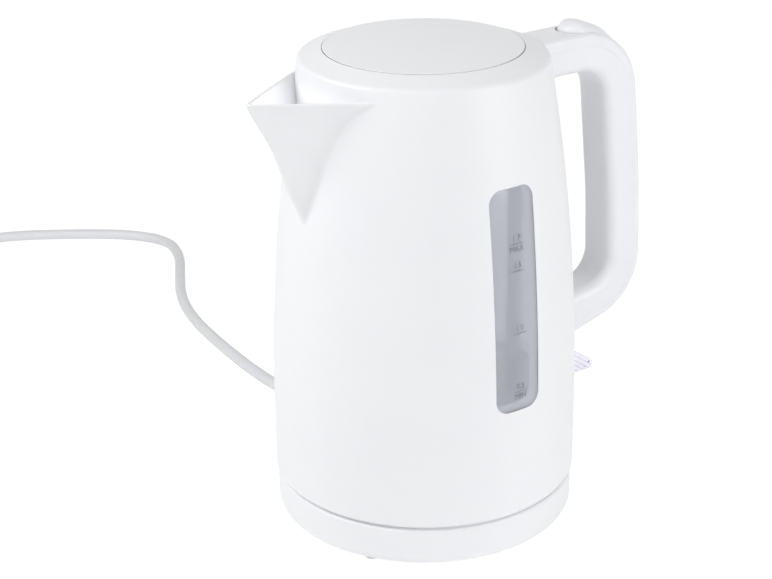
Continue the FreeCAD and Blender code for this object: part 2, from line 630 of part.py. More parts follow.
def make_button():
    side = slab("button_side", [
        ("button_front_x - 3", "arm_top_z - button_sink"),
        ("button_bend_x + 5", "arm_top_z - button_sink", "12"),
        ("trunnion_x - 1.9", "button_heel_z", "1.5"), ("trunnion_x + 1.7", "button_heel_z", "1.5"),
        ("button_tail_x", "button_tail_z"), ("button_fall_x", "button_fall_z", "30"),
        ("button_bend_x", "button_bend_z", "24"), ("button_front_x - 3", "button_peak_z"),
    ], "button_half + 2")
    blank = common("button_blank", side, button_plan("button_outline", "button_front_x", "0"))
    doc.recompute()
    tongue = doc.addObject("Part::Fillet", "button_tongue")
    tongue.Base = blank
    rim = [pair for pair in enumerate(blank.Shape.Edges, start=1) if button_rim(pair[1])]
    tongue.Edges = [(number, *rim_flare(edge)) for number, edge in rim]
    stem = box("button_stem", ("stem_x", "-hook_half", "hook_high_z + 0.4"),
               ("hook_post - 1", "2 * hook_half", "4"))
    reach = "button_half + trunnion_long"
    trunnions = cylinder("button_trunnions", "trunnion_r", f"2 * ({reach})",
                         ("trunnion_x", f"-({reach})", "trunnion_z"), "y")
    piece(fuse("lid_button", tongue, stem, trunnions), "lid_button")
    tooth_end, post = "hook_tooth_x + hook_thick", "hook_end_x - hook_post"
    plate_top = "hook_low_z + hook_thick"
    piece(slab("latch_hook", [
        ("hook_tooth_x", "hook_low_z"), ("hook_end_x", "hook_low_z"), ("hook_end_x", "hook_high_z"),
        (post, "hook_high_z"), (post, plate_top), (tooth_end, plate_top),
        (tooth_end, "hook_low_z + hook_tooth_tall"), ("hook_tooth_x", "hook_low_z + hook_tooth_tall"),
    ], "hook_half"), "latch_hook")
    floor = "arm_low_z + grip_wall"
    sleeve = cylinder("spring_sleeve", "latch_spring_r", f"hook_low_z - 0.3 - ({floor})",
                      ("latch_spring_x", "0", floor))
    inside = cylinder("spring_bore", "latch_spring_r - 0.6", "10", ("latch_spring_x", "0", f"{floor} - 1"))
    piece(cut("latch_spring", sleeve, inside), "latch_spring")


# Filter behind the spout
def make_filter():
    panel = filter_window("filter_panel", "0")
    opening = filter_window("filter_opening", "filter_border")
    frame = common("filter_blank", filter_skin("filter_body", "filter_gap", "filter_thick"), panel)
    piece(cut("filter_frame", frame, opening), "filter_frame")
    cloth = filter_skin("filter_cloth", "(filter_gap + mesh_inset)", "mesh_thick")
    piece(common("filter_mesh", cloth, opening), "filter_mesh")


def filter_window(name, border):
    wide, tall = f"2 * (filter_half - {border})", f"filter_high_z - filter_low_z - 2 * {border}"
    return box(name, ("-body_r", f"-filter_half + {border}", f"filter_low_z + {border}"),
               ("0.6 * body_r", wide, tall))


def filter_skin(name, inset, thick):
    """A curved skin just inside the jug's wall, so far in from it and so thick."""
    low_r, high_r = f"body_r - wall - filter_shift - {inset}", f"shoulder_r - wall - {inset}"
    top = "shoulder_z - roof_thick"
    return revolved(name, [
        (low_r, "vee_low_z"), (high_r, top),
        (f"{high_r} - {thick}", top), (f"{low_r} - {thick}", "vee_low_z"),
    ])


# Heating plate, control and switch
def make_heater():
    lip_r = "ledge_r + 0.5"
    piece(revolved("element_seal", [
        (lip_r, "seal_low_z"), ("seal_r", "seal_low_z"), ("seal_r", "ledge_z"), (lip_r, "ledge_z"),
        (lip_r, "plate_z + plate_thick"), ("plate_r", "plate_z + plate_thick"), ("plate_r", "plate_z"),
        (lip_r, "plate_z"),
    ]), "element_seal")
    plate = cylinder("plate_disc", "plate_r", "plate_thick", ("0", "0", "plate_z"))
    port = cylinder("plate_port", "steam_r", "5", ("steam_x", "0", "plate_z - 2"))
    piece(cut("element_plate", plate, port), "element_plate")
    tube_low = "plate_z - steam_tail"
    tube = cylinder("steam_outside", "steam_r", f"steam_high_z - ({tube_low})", ("steam_x", "0", tube_low))
    bore = cylinder("steam_bore", "steam_r - steam_wall", "steam_high_z", ("steam_x", "0", f"{tube_low} - 5"))
    piece(cut("steam_tube", tube, bore), "steam_tube")
    piece(cylinder("heat_diffuser", "diffuser_r", "diffuser_thick", ("0", "0", "plate_z - diffuser_thick")),
          "heat_diffuser")
    ring = doc.addObject("Part::Torus", "element_ring")
    tie(ring, "Radius1", "element_r")
    tie(ring, "Radius2", "element_tube_r")
    ring.Angle3 = 300
    level = "plate_z - diffuser_thick - element_tube_r"
    ring.Placement = Placement(Vector(0, 0, value(level)), Rotation(Vector(0, 0, 1), 30))
    tie(ring, "Placement.Base.z", level)
    pins = [
        cylinder(f"cold_pin_{i}", "cold_pin_r", "cold_pin_long",
                 (*on_ring("element_r", angle), f"{level} - cold_pin_long"))
        for i, angle in enumerate((31.5, -31.5))
    ]
    piece(fuse("heating_element", ring, *pins), "heating_element")
    make_control()
    make_bottom_cover()


def make_control():
    low = "cover_low_z + cover_thick"
    piece(revolved("control_body", [
        ("socket_r", low), ("control_r", low), ("control_r", "control_high_z", "1.5"),
        ("0", "control_high_z"), ("0", "socket_high_z"), ("socket_r", "socket_high_z"),
    ]), "control_body")
    pin = cylinder("control_pin", "contact_pin_r", "socket_high_z - contact_low_z",
                   ("0", "0", "contact_low_z"))
    ring = cut("control_ring", cylinder("ring_outer", "socket_r", "ring_tall", ("0", "0", "ring_low_z")),
               cylinder("ring_inner", "socket_r - ring_thick", "ring_tall + 2", ("0", "0", "ring_low_z - 1")))
    piece(group("control_contacts", [pin, ring]), "control_contacts")
    piece(cylinder("bimetal_disc", "disc_r", "disc_thick", ("0", "0", "control_high_z")), "bimetal_disc")


def make_bottom_cover():
    outer, floor = "body_r - wall - cover_gap_r", "cover_low_z + cover_thick"
    dish = revolved("cover_dish", [
        ("cover_hole_r", "cover_low_z"), (outer, "cover_low_z"), (outer, "cover_rim_z"),
        (f"{outer} - cover_rim_thick", "cover_rim_z"), (f"{outer} - cover_rim_thick", floor),
        ("cover_hole_r", floor),
    ])
    screws, holes = [], []
    for i, angle in enumerate(COVER_SCREW_ANGLES):
        place = on_ring("cover_ring_r", angle)
        head_low = "cover_low_z + 0.2"
        head = cylinder(f"cover_screw_head_{i}", "2", "head_tall", (*place, head_low))
        shank = cylinder(f"cover_screw_shank_{i}", "screw_r", "15", (*place, f"{head_low} + head_tall"))
        screws.append(fuse(f"cover_screw_{i}", head, shank))
        holes += [cylinder(f"cover_hole_{i}", "screw_r", "6", (*place, "cover_low_z")),
                  cylinder(f"cover_sink_{i}", "2", "head_tall + 1.2", (*place, "cover_low_z - 1"))]
    piece(cut("jug_bottom_cover", dish, *holes), "jug_bottom_cover")
    piece(group("bottom_cover_screws", screws), "bottom_cover_screws")


def make_switch():
    paddle = slab("paddle_wedge", [
        ("pivot_x - paddle_inner", "paddle_low_z + 0.9"), ("pivot_x + 13", "paddle_low_z - 0.5"),
        ("paddle_tip_x - 2", "paddle_low_z - 0.3", "1.2"), ("paddle_tip_x", "paddle_low_z + 3.2", "1.5"),
        ("paddle_bend_x", "paddle_crest_z", "4"), ("pivot_x + 13.6", "paddle_crest_z", "1"),
        ("pivot_x + 13", "paddle_high_z"), ("pivot_x + 6", "paddle_high_z"),
        ("pivot_x - paddle_inner", "pivot_z + 3.2", "2"),
    ], "paddle_half")
    bore = cylinder("paddle_bore", "pivot_r + running", "40", ("pivot_x", "-20", "pivot_z"), "y")
    piece(cut("switch_lever", paddle, bore), "switch_lever")
    across = "2 * bracket_half"
    piece(cylinder("switch_pin", "pivot_r", across, ("pivot_x", "-bracket_half", "pivot_z"), "y"),
          "switch_pin")
    corner = ("bracket_x", "-bracket_half", "cover_low_z + cover_thick")
    floor = box("bracket_floor", corner, ("bracket_long", across, "bracket_wall"))
    back = box("bracket_back", corner, ("bracket_wall", across, "bracket_tall"))
    cheeks = [
        box(f"bracket_cheek_{i}", (corner[0], y, corner[2]), ("bracket_long", "bracket_wall", "bracket_tall"))
        for i, y in enumerate(("-bracket_half", "bracket_half - bracket_wall"))
    ]
    holes = [
        cylinder(f"bracket_hole_{axle}", f"{axle}_r", "40", (f"{axle}_x", "-20", f"{axle}_z"), "y")
        for axle in ("pivot", "trip")
    ]
    piece(cut("switch_bracket", fuse("bracket_blank", floor, back, *cheeks), *holes), "switch_bracket")
    near, far, high = "trip_x - trip_half", "trip_x + trip_half", "trip_z + trip_tall"
    trip = slab("trip_plate", [
        (near, "trip_z - trip_half", "1.5"), (far, "trip_z - trip_half", "1.5"), (far, high), (near, high),
    ], "trip_wide")
    trip_bore = cylinder("trip_bore", "trip_r + running", "20", ("trip_x", "-10", "trip_z"), "y")
    piece(cut("trip_lever", trip, trip_bore), "trip_lever")
    piece(cylinder("trip_pin", "trip_r", across, ("trip_x", "-bracket_half", "trip_z"), "y"), "trip_pin")
    inner_x = "bracket_x + bracket_wall"
    piece(cylinder("steam_bimetal", "6", "0.5", (inner_x, "0", "trip_z - 6"), "x"), "steam_bimetal")
    piece(cylinder("indicator_lamp", "2.5", "6", (inner_x, "0", "pivot_z"), "x"), "indicator_lamp")


# Power base
def make_base():
    edge, flange_z = "underside_r + 0.2", "underside_z + 0.6"
    ceiling = "plateau_z - base_wall"
    top = revolved("base_cap", [
        (edge, "base_low_z"), ("base_r", "base_low_z", "base_round"), ("base_r", "base_high_z", "1.4"),
        ("plateau_r + 1", "base_high_z"), ("plateau_r", "plateau_z", "0.6"), ("base_hole_r", "plateau_z"),
        ("base_hole_r", ceiling), ("plateau_r - 2", ceiling), ("plateau_r - 2", "base_high_z - base_wall"),
        ("base_r - base_wall", "base_high_z - base_wall"), ("base_r - base_wall", flange_z), (edge, flange_z),
    ])
    bosses, screws, bores, sinks = [], [], [], []
    for i, angle in enumerate(BASE_SCREW_ANGLES):
        place = on_ring("screw_ring_r", angle)
        head_low = "foot_high_z + 0.4"
        bosses.append(cylinder(f"base_boss_{i}", "base_boss_r", f"{ceiling} - underside_z + 0.5",
                               (*place, "underside_z")))
        bores.append(cylinder(f"base_bore_{i}", "screw_r", "14", (*place, "foot_high_z - 1")))
        sinks.append(cylinder(f"base_sink_{i}", "head_r + 0.2", "0.8 + head_tall",
                              (*place, "foot_high_z - 0.4")))
        head = cylinder(f"base_screw_head_{i}", "head_r", "head_tall", (*place, head_low))
        shank = cylinder(f"base_screw_shank_{i}", "screw_r", "11.4", (*place, f"{head_low} + head_tall"))
        screws.append(fuse(f"base_screw_{i}", head, shank))
    lead_hole = cylinder("lead_hole", "relief_r", "20", ("0", "65", "relief_z"), "y")
    piece(cut("base_top_shell", fuse("base_cap_posts", top, *bosses), lead_hole, *bores), "base_top_shell")
    plate = revolved("underside_plate", [
        ("0", "foot_high_z"), ("underside_r", "foot_high_z", "1"), ("underside_r", "underside_z"),
        ("collar_out_r", "underside_z"), ("collar_out_r", "collar_z"), ("collar_in_r", "collar_z"),
        ("collar_in_r", "underside_z"), ("0", "underside_z"),
    ])
    piece(cut("base_bottom_cover", plate, *bores, *sinks), "base_bottom_cover")
    piece(group("base_screws", screws), "base_screws")
    piece(group("base_feet", [
        cone(f"foot_{i}", "foot_r - 0.6", "foot_r", "foot_high_z", (*on_ring("foot_ring_r", angle), "0"))
        for i, angle in enumerate(FOOT_ANGLES)
    ]), "base_feet")
    make_connector()


def make_connector():
    """Round plug that the jug stands on and turns with, and the live parts under it."""
    collar_r, flange_top = "base_hole_r - 0.6", "plug_low_z + flange_thick"
    piece(revolved("connector_plug", [
        ("plug_bore_r", "plug_low_z"), ("plug_flange_r", "plug_low_z"), ("plug_flange_r", flange_top),
        (collar_r, flange_top), (collar_r, "collar_top_z", "0.6"), ("plug_r", "collar_top_z"),
        ("plug_r", "plug_high_z", "1.2"), ("plug_bore_r", "plug_high_z", "0.6"),
    ]), "connector_plug")
    sleeve_low = "plug_low_z + sleeve_thick"
    sleeve = cut("connector_sleeve", cylinder("sleeve_outer", "plug_bore_r", "18", ("0", "0", sleeve_low)),
                 cylinder("sleeve_inner", "plug_bore_r - sleeve_thick", "22", ("0", "0", "plug_low_z - 1")))
    piece(sleeve, "connector_sleeve")
    piece(group("contact_springs", [
        cylinder(f"contact_{i}", "spring_contact_r", "contact_tall",
                 (*on_ring("contact_ring_r", 120 * i + 30), "underside_z"))
        for i in range(3)
    ]), "contact_springs")
    piece(group("base_wires", [
        cylinder(f"wire_{i}", "wire_r", "clamp_y - wire_y", (x, "wire_y", "wire_z"), "y")
        for i, x in enumerate(("-4", "0", "4"))
    ]), "base_wires")
    piece(box("cord_clamp", ("-clamp_half", "clamp_y", "underside_z"),
              ("2 * clamp_half", "clamp_long", "clamp_tall")), "cord_clamp")


# Lead and mains plug
def cord_path(points):
    """Straight runs joined by arcs as large as the shorter of two runs allows."""
    edges, radii, start = [], [], points[0]
    for before, corner, after in zip(points, points[1:], points[2:]):
        arrive, leave = (corner - before), (after - corner)
        half_turn = arrive.getAngle(leave) / 2
        reach = 0.45 * min(arrive.Length, leave.Length)
        arrive.normalize()
        leave.normalize()
        first, last = corner - arrive * reach, corner + leave * reach
        radius = reach / math.tan(half_turn)
        inward = (leave - arrive).normalize()
        middle = corner + inward * (radius / math.cos(half_turn) - radius)
        edges += [Part.LineSegment(start, first), Part.Arc(first, middle, last)]
        radii.append(radius)
        start = last
    edges.append(Part.LineSegment(start, points[-1]))
    return Part.Wire([edge.toShape() for edge in edges]), radii


def make_lead():
    neck_y = "relief_flange_y + relief_flange_long"
    flange = cylinder("relief_flange", "relief_flange_r", "relief_flange_long",
                      ("0", "relief_flange_y", "relief_z"), "y")
    neck = cylinder("relief_neck", "relief_r", "3.6", ("0", f"{neck_y} - 0.2", "relief_z"), "y")
    sleeve = cone("relief_sleeve", "relief_r", "0.5 * cord_d + 0.7", f"relief_end_y - ({neck_y}) - 3.4",
                  ("0", f"{neck_y} + 3.4", "relief_z"), "y")
    piece(fuse("strain_relief", flange, neck, sleeve), "strain_relief")
    path, radii = cord_path([Vector(*point) for point in CORD_ROUTE])
    print("lead: length %.1f mm, bend radii" % path.Length, [round(radius) for radius in radii])
    start = path.Edges[0]
    section = Part.Circle(start.valueAt(start.FirstParameter), start.tangentAt(start.FirstParameter),
                          value("cord_d") / 2)
    tube = path.makePipeShell([Part.Wire(section.toShape())], True, False)
    expected = path.Length * math.pi * value("cord_d") ** 2 / 4
    print("lead: volume over section times length %.4f" % (tube.Volume / expected))
    cord = doc.addObject("Part::Feature", "power_cord")
    cord.Shape = tube
    piece(cord, "power_cord")


def make_mains_plug():
    """An earthed plug lying on its back: round body, side cord boss, two pins and two earth clips."""
    end = Vector(*CORD_ROUTE[-1])
    heading = end - Vector(*CORD_ROUTE[-2])
    heading.z = 0
    across = heading.normalize()
    centre = end + across * (value("mains_plug_r") + 24)
    x, y = f"{centre.x:.3f}", f"{centre.y:.3f}"
    body = cylinder("plug_round", "mains_plug_r", "mains_plug_tall", (x, y, "0"))
    boss = cone("plug_boss", "0.5 * cord_d + 0.8", "plug_boss_r", "plug_boss_long", ("0", "0", "0"))
    for letter in "xyz":
        boss.setExpression(f"Placement.Base.{letter}", None)
    boss.Placement = Placement(end, Rotation(Vector(0, 0, 1), across))
    sides = ("mains_plug_r - clip_depth", "(-mains_plug_r + clip_depth - clip_thick)")
    notches = [
        box(f"clip_notch_{i}", (f"{x} - 0.5 * clip_wide", low, "clip_low_z"),
            ("clip_wide", "3", "mains_plug_tall"))
        for i, low in enumerate((f"{y} + {sides[0]}", f"{y} + {sides[1]} - 3 + clip_thick"))
    ]
    seat = "mains_plug_tall - mains_pin_seat"
    spots = [(f"{x} + mains_pin_gap", y, seat), (f"{x} - mains_pin_gap", y, seat)]
    holes = [cylinder(f"pin_hole_{i}", "mains_pin_r", "10", spot) for i, spot in enumerate(spots)]
    piece(cut("plug_body", fuse("plug_blank", body, boss), *notches, *holes), "plug_body")
    piece(group("plug_pins", [
        cylinder(f"pin_{i}", "mains_pin_r", "mains_pin_long", spot) for i, spot in enumerate(spots)
    ]), "plug_pins")
    piece(group("plug_earth_clips", [
        box(f"earth_clip_{i}", (f"{x} - 0.5 * clip_wide", f"{y} + {side}", "clip_low_z"),
            ("clip_wide", "clip_thick", "mains_plug_tall - clip_low_z"))
        for i, side in enumerate(sides)
    ]), "plug_earth_clips")


def check_and_write():
    doc.recompute()
    faults = [item.Label for item in doc.Objects if {"Invalid", "Error"} & set(item.State)]
    for item in pieces:
        if item.Shape.isNull() or not item.Shape.isValid() or not item.Shape.Solids:
            faults.append(item.Label + " has no valid solid")
    if faults:
        raise RuntimeError("not built: " + ", ".join(faults))
    os.makedirs("parts", exist_ok=True)
    for item in pieces:
        item.Shape.exportStep(f"parts/{item.Label}.step")
        print("%-20s %2d solid %10.1f mm3" % (item.Label, len(item.Shape.Solids), item.Shape.Volume))


fill_sheet()
envelope_body = jug_envelope()
make_jug(envelope_body)
make_handle(envelope_body)
make_lid()
make_button()
make_filter()
make_heater()
make_switch()
make_base()
make_lead()
make_mains_plug()
check_and_write()
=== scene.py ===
# Electric kettle on its power base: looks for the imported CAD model, all in metres.
import json
import math
import bpy
import bmesh
from mathutils import Euler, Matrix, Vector


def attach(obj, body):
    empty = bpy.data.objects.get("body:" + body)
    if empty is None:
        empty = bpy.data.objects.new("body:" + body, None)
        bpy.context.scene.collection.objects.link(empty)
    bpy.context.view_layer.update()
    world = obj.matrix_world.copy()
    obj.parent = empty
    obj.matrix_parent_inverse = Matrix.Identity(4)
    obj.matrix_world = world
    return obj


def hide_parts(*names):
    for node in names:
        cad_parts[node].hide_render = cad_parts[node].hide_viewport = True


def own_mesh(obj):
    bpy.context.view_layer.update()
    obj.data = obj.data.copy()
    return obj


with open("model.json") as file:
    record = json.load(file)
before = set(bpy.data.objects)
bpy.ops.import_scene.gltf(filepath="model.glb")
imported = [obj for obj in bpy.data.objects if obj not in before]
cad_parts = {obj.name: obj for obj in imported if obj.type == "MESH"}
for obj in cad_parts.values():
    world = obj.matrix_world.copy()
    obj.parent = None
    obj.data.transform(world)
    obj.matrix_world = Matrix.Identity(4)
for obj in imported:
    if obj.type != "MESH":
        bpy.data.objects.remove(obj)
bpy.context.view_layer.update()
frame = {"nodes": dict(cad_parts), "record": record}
nodes = frame["nodes"]
mm = 0.001
weld = {"cad": 0.001, "built": 0.002}  # mm within which points are one
print("frame: %d CAD nodes loaded" % len(nodes))


# small helpers
def pick(obj):
    bpy.ops.object.select_all(action="DESELECT")
    obj.select_set(True)
    bpy.context.view_layer.objects.active = obj
    return obj


def settle(obj):
    # puts the place, turn and scale into the mesh
    pick(obj)
    bpy.ops.object.transform_apply(location=True, rotation=True, scale=True)
    return obj


def shape(obj, kind, **settings):
    # one modifier, applied at once
    pick(obj)
    modifier = obj.modifiers.new(kind.title(), kind)
    for key, value in settings.items():
        setattr(modifier, key, value)
    bpy.ops.object.modifier_apply(modifier=modifier.name)
    return obj


def selectWhere(obj, test, kind="faces"):
    # edit mode only: selects the faces, edges or verts that the test picks
    bpy.ops.mesh.select_mode(type={"faces": "FACE", "edges": "EDGE", "verts": "VERT"}[kind])
    bpy.ops.mesh.select_all(action="DESELECT")
    mesh = bmesh.from_edit_mesh(obj.data)
    for item in getattr(mesh, kind):
        if test(item):
            item.select_set(True)
    mesh.select_flush_mode()
    bmesh.update_edit_mesh(obj.data)


def tidyMesh(obj, angle=35):
    pick(obj)
    bpy.ops.object.mode_set(mode="EDIT")
    bpy.ops.mesh.select_all(action="SELECT")
    bpy.ops.mesh.remove_doubles(threshold=weld["built"] * mm)
    bpy.ops.mesh.normals_make_consistent(inside=False)
    bpy.ops.object.mode_set(mode="OBJECT")
    bpy.ops.object.shade_smooth_by_angle(angle=math.radians(angle))
    return obj


def turned(rings, sides=48):
    # a lathe: a disc that is extruded up and resized ring by ring, (radius, height) in mm
    bpy.ops.object.select_all(action="DESELECT")
    bpy.ops.mesh.primitive_circle_add(vertices=sides, radius=rings[0][0] * mm, fill_type="NGON",
                                      location=(0, 0, rings[0][1] * mm))
    obj = settle(bpy.context.object)
    bpy.ops.object.mode_set(mode="EDIT")
    bpy.ops.mesh.select_all(action="SELECT")
    for (wasRadius, wasHeight), (radius, height) in zip(rings, rings[1:]):
        rise = (0, 0, (height - wasHeight) * mm)
        bpy.ops.mesh.extrude_region_move(TRANSFORM_OT_translate={"value": rise})
        bpy.ops.transform.resize(value=(radius / wasRadius, radius / wasRadius, 1),
                                 center_override=(0, 0, height * mm))
    bpy.ops.object.mode_set(mode="OBJECT")
    return tidyMesh(obj)


def ribbed(start, pitch, crests, rib):
    # rings for a row of ribs: each crest's radius, and one rib as (radius against its crest, distance along)
    return [(crest + step, start + i * pitch + ahead) for i, crest in enumerate(crests) for step, ahead in rib]


def ringOf(radius, angles):
    # places on a circle about the kettle's axis, in mm and degrees
    return [(radius * math.cos(math.radians(a)), radius * math.sin(math.radians(a)), 0) for a in angles]


def block(place, size, turn=0):
    # a box to cut with or to shape further, in mm, turned about Z in degrees
    bpy.ops.object.select_all(action="DESELECT")
    bpy.ops.mesh.primitive_cube_add(size=1, location=[value * mm for value in place])
    obj = bpy.context.object
    obj.scale = [value * mm for value in size]
    obj.rotation_euler = (0, 0, math.radians(turn))
    return settle(obj)


def tube(name, points, radius, steps, sides):
    # a round tube on one smooth spline, closed at its ends, all in metres
    curve = bpy.data.curves.new(name, "CURVE")
    curve.dimensions = "3D"
    spline = curve.splines.new("NURBS")
    spline.points.add(len(points) - 1)
    for point, spot in zip(spline.points, points):
        point.co = (*spot, 1.0)
    spline.order_u = 3
    spline.use_endpoint_u = True
    spline.resolution_u = steps
    curve.bevel_depth = radius
    curve.bevel_resolution = sides
    curve.use_fill_caps = True
    obj = bpy.data.objects.new(name, curve)
    bpy.context.collection.objects.link(obj)
    return obj


def pressOnto(obj, node, axis, forward, gap):
    # shoots every point along X or Y onto a CAD node and leaves it gap mm off the surface
    return shape(obj, "SHRINKWRAP", target=nodes[node], wrap_method="PROJECT", use_project_x=axis == "X",
                 use_project_y=axis == "Y", use_project_z=False, use_positive_direction=forward,
                 use_negative_direction=not forward, offset=gap * mm)


def copyAt(obj, place=(0, 0, 0), turn=(0, 0, 0)):
    # a copy with its own mesh, turned in degrees and moved in mm
    copy = bpy.data.objects.new(obj.name + "Copy", obj.data.copy())
    bpy.context.collection.objects.link(copy)
    copy.location = Vector(place) * mm
    copy.rotation_euler = [math.radians(angle) for angle in turn]
    return settle(copy)


def joined(objs):
    pick(objs[0])
    for obj in objs[1:]:
        obj.select_set(True)
    bpy.ops.object.join()
    return bpy.context.object


def drop(obj):
    bpy.data.objects.remove(obj)


def cutAway(obj, cutter):
    shape(obj, "BOOLEAN", operation="DIFFERENCE", solver="EXACT", object=cutter)
    drop(cutter)


def finishPiece(obj, name, body, material, stands=()):
    # name, finish, and the CAD body that the piece moves with
    obj.name = name
    obj.data.name = name
    obj.data.materials.clear()
    obj.data.materials.append(material)
    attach(obj, body)
    if stands:
        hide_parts(*stands)
    return obj


def cadCopy(node, flat=0.4):
    # a copy of a CAD solid's mesh to work on: loose triangles merged, areas flat to those degrees made whole faces
    obj = bpy.data.objects.new(node + "Work", nodes[node].data.copy())
    bpy.context.collection.objects.link(obj)
    pick(obj)
    bpy.ops.object.mode_set(mode="EDIT")
    bpy.ops.mesh.select_all(action="SELECT")
    bpy.ops.mesh.customdata_custom_splitnormals_clear()
    bpy.ops.mesh.remove_doubles(threshold=weld["cad"] * mm)
    bpy.ops.mesh.dissolve_limited(angle_limit=math.radians(flat), delimit=set())
    bpy.ops.object.mode_set(mode="OBJECT")
    return obj


# materials
def tint(code):
    # sRGB hex to linear
    parts = [int(code[i:i + 2], 16) / 255 for i in (1, 3, 5)]
    return tuple(c / 12.92 if c <= 0.04045 else ((c + 0.055) / 1.055) ** 2.4 for c in parts) + (1.0,)


def grain(sizeMm):
    # texture scale for a pattern of that size
    return 1 / (sizeMm * mm)


def addNode(tree, kind, settings={}, links={}, feeds={}):
    # one node: its settings, what drives its sockets, and the sockets that it drives
    node = tree.nodes.new(kind)
    for key, value in settings.items():
        if isinstance(key, str) and hasattr(node, key):
            setattr(node, key, value)
        else:
            node.inputs[key].default_value = value
    for key, source in links.items():
        tree.links.new(source, node.inputs[key])
    for key, socket in feeds.items():
        tree.links.new(node.outputs[key], socket)
    return node


def startMaterial(name, sockets):
    material = bpy.data.materials.new(name)
    material.use_nodes = True
    tree = material.node_tree
    shader = tree.nodes["Principled BSDF"]
    for key, value in sockets.items():
        shader.inputs[key].default_value = value
    where = addNode(tree, "ShaderNodeTexCoord").outputs["Object"]
    return material, tree, shader, where


mouldSkin = {"detail": 3.0, "pitDeep": 0.05}  # shared by every moulded finish, pits in mm


def moulded(name, sockets, mottle, colours, fine, rough, bump):
    # a cast or moulded skin: colour drifts over mottle mm, roughness and bump over fine mm
    material, tree, shader, where = startMaterial(name, sockets)
    drift, pits = (addNode(tree, "ShaderNodeTexNoise", {"Scale": grain(size), "Detail": mouldSkin["detail"]},
                           {"Vector": where}).outputs["Fac"] for size in (mottle, fine))
    addNode(tree, "ShaderNodeMix", {"data_type": "RGBA", 6: tint(colours[0]), 7: tint(colours[1])},
            {0: drift}, {2: shader.inputs["Base Color"]})
    addNode(tree, "ShaderNodeMapRange", {"To Min": rough[0], "To Max": rough[1]},
            {"Value": pits}, {0: shader.inputs["Roughness"]})
    addNode(tree, "ShaderNodeBump", {"Strength": bump, "Distance": mouldSkin["pitDeep"] * mm},
            {"Height": pits}, {0: shader.inputs["Normal"]})
    return material, tree, shader, where


# white polypropylene, injection moulded with a fine spark-eroded texture (drawn coarse): cool white, satin
white = {"mottle": 38, "colours": ("#EEEFF2", "#F2F3F5"), "fine": 0.7, "rough": (0.34, 0.46), "bump": 0.06}
whitePolypropylene = moulded("whitePolypropylene", {"IOR": 1.49}, **white)[0]

# the jug's own white, and a painted glow on the faces that look inwards, standing in for the light that reaches the
# inside of the jug and its spout, except by the lid
# heights and places along X in mm; turned: how far a face looks inwards before it starts and ends to brighten
paintedInnerGlow = {"glow": 0.3, "full": 165, "none": 222, "spoutFull": -80, "spoutNone": -60, "turned": (-0.2, -0.6)}
jugPolypropylene, tree, shader, where = moulded("jugPolypropylene", {"IOR": 1.49}, **white)
flat = addNode(tree, "ShaderNodeVectorMath", {"operation": "MULTIPLY", 1: (1, 1, 0)}, {0: where})
outward = addNode(tree, "ShaderNodeVectorMath", {"operation": "NORMALIZE"}, {0: flat.outputs[0]})
facing = addNode(tree, "ShaderNodeTexCoord").outputs["Normal"]
inward = addNode(tree, "ShaderNodeVectorMath", {"operation": "DOT_PRODUCT"},
                 {0: outward.outputs[0], 1: facing})
# painted light: emission on the inward-looking faces, strongest low in the jug and in the spout's front
paintedLight = addNode(tree, "ShaderNodeMapRange", {"From Min": paintedInnerGlow["turned"][0], "From Max": paintedInnerGlow["turned"][1],
                                           "To Min": 0.0, "To Max": paintedInnerGlow["glow"]},
              {"Value": inward.outputs["Value"]})
place = addNode(tree, "ShaderNodeSeparateXYZ", {}, {"Vector": where})
low = addNode(tree, "ShaderNodeMapRange", {"From Min": paintedInnerGlow["none"] * mm, "From Max": paintedInnerGlow["full"] * mm},
              {"Value": place.outputs[2]})
ahead = addNode(tree, "ShaderNodeMapRange",
                {"From Min": paintedInnerGlow["spoutNone"] * mm, "From Max": paintedInnerGlow["spoutFull"] * mm},
                {"Value": place.outputs[0]})
deep = addNode(tree, "ShaderNodeMath", {"operation": "MAXIMUM"}, {0: low.outputs[0], 1: ahead.outputs[0]})
addNode(tree, "ShaderNodeMath", {"operation": "MULTIPLY"}, {0: paintedLight.outputs[0], 1: deep.outputs[0]},
        {0: shader.inputs["Emission Strength"]})

# the window's collar, of the same plastic, with a painted glow in place of the light that comes through the window
# beside it
collarPolypropylene = moulded("collarPolypropylene", {"IOR": 1.49, "Emission Strength": 0.35}, **white)[0]

# the same plastic, moulded for the handle with a slightly finer and glossier skin
gripPolypropylene = moulded("gripPolypropylene", {"IOR": 1.49}, 25, ("#EDEEF1", "#F1F2F5"),
                            0.6, (0.30, 0.42), 0.05)[0]

# grey-tinted SAN window: polished mould, clear but smoky, with faint flow streaks along its length
smoky = {"clear": 0.62, "streak": 6, "stretch": 0.08, "colours": ("#CBCED5", "#D3D5DC"), "rough": (0.02, 0.1)}
smokyWindow, tree, shader, where = startMaterial("smokyWindow", {
    "IOR": 1.57, "Transmission Weight": smoky["clear"]})
drawn = addNode(tree, "ShaderNodeMapping", {"Scale": (1.0, 1.0, smoky["stretch"])}, {"Vector": where})
streak = addNode(tree, "ShaderNodeTexNoise", {"Scale": grain(smoky["streak"]), "Detail": 2.0},
                 {"Vector": drawn.outputs[0]}).outputs["Fac"]
addNode(tree, "ShaderNodeMix",
        {"data_type": "RGBA", 6: tint(smoky["colours"][0]), 7: tint(smoky["colours"][1])},
        {0: streak}, {2: shader.inputs["Base Color"]})
addNode(tree, "ShaderNodeMapRange", {"To Min": smoky["rough"][0], "To Max": smoky["rough"][1]},
        {"Value": streak}, {0: shader.inputs["Roughness"]})
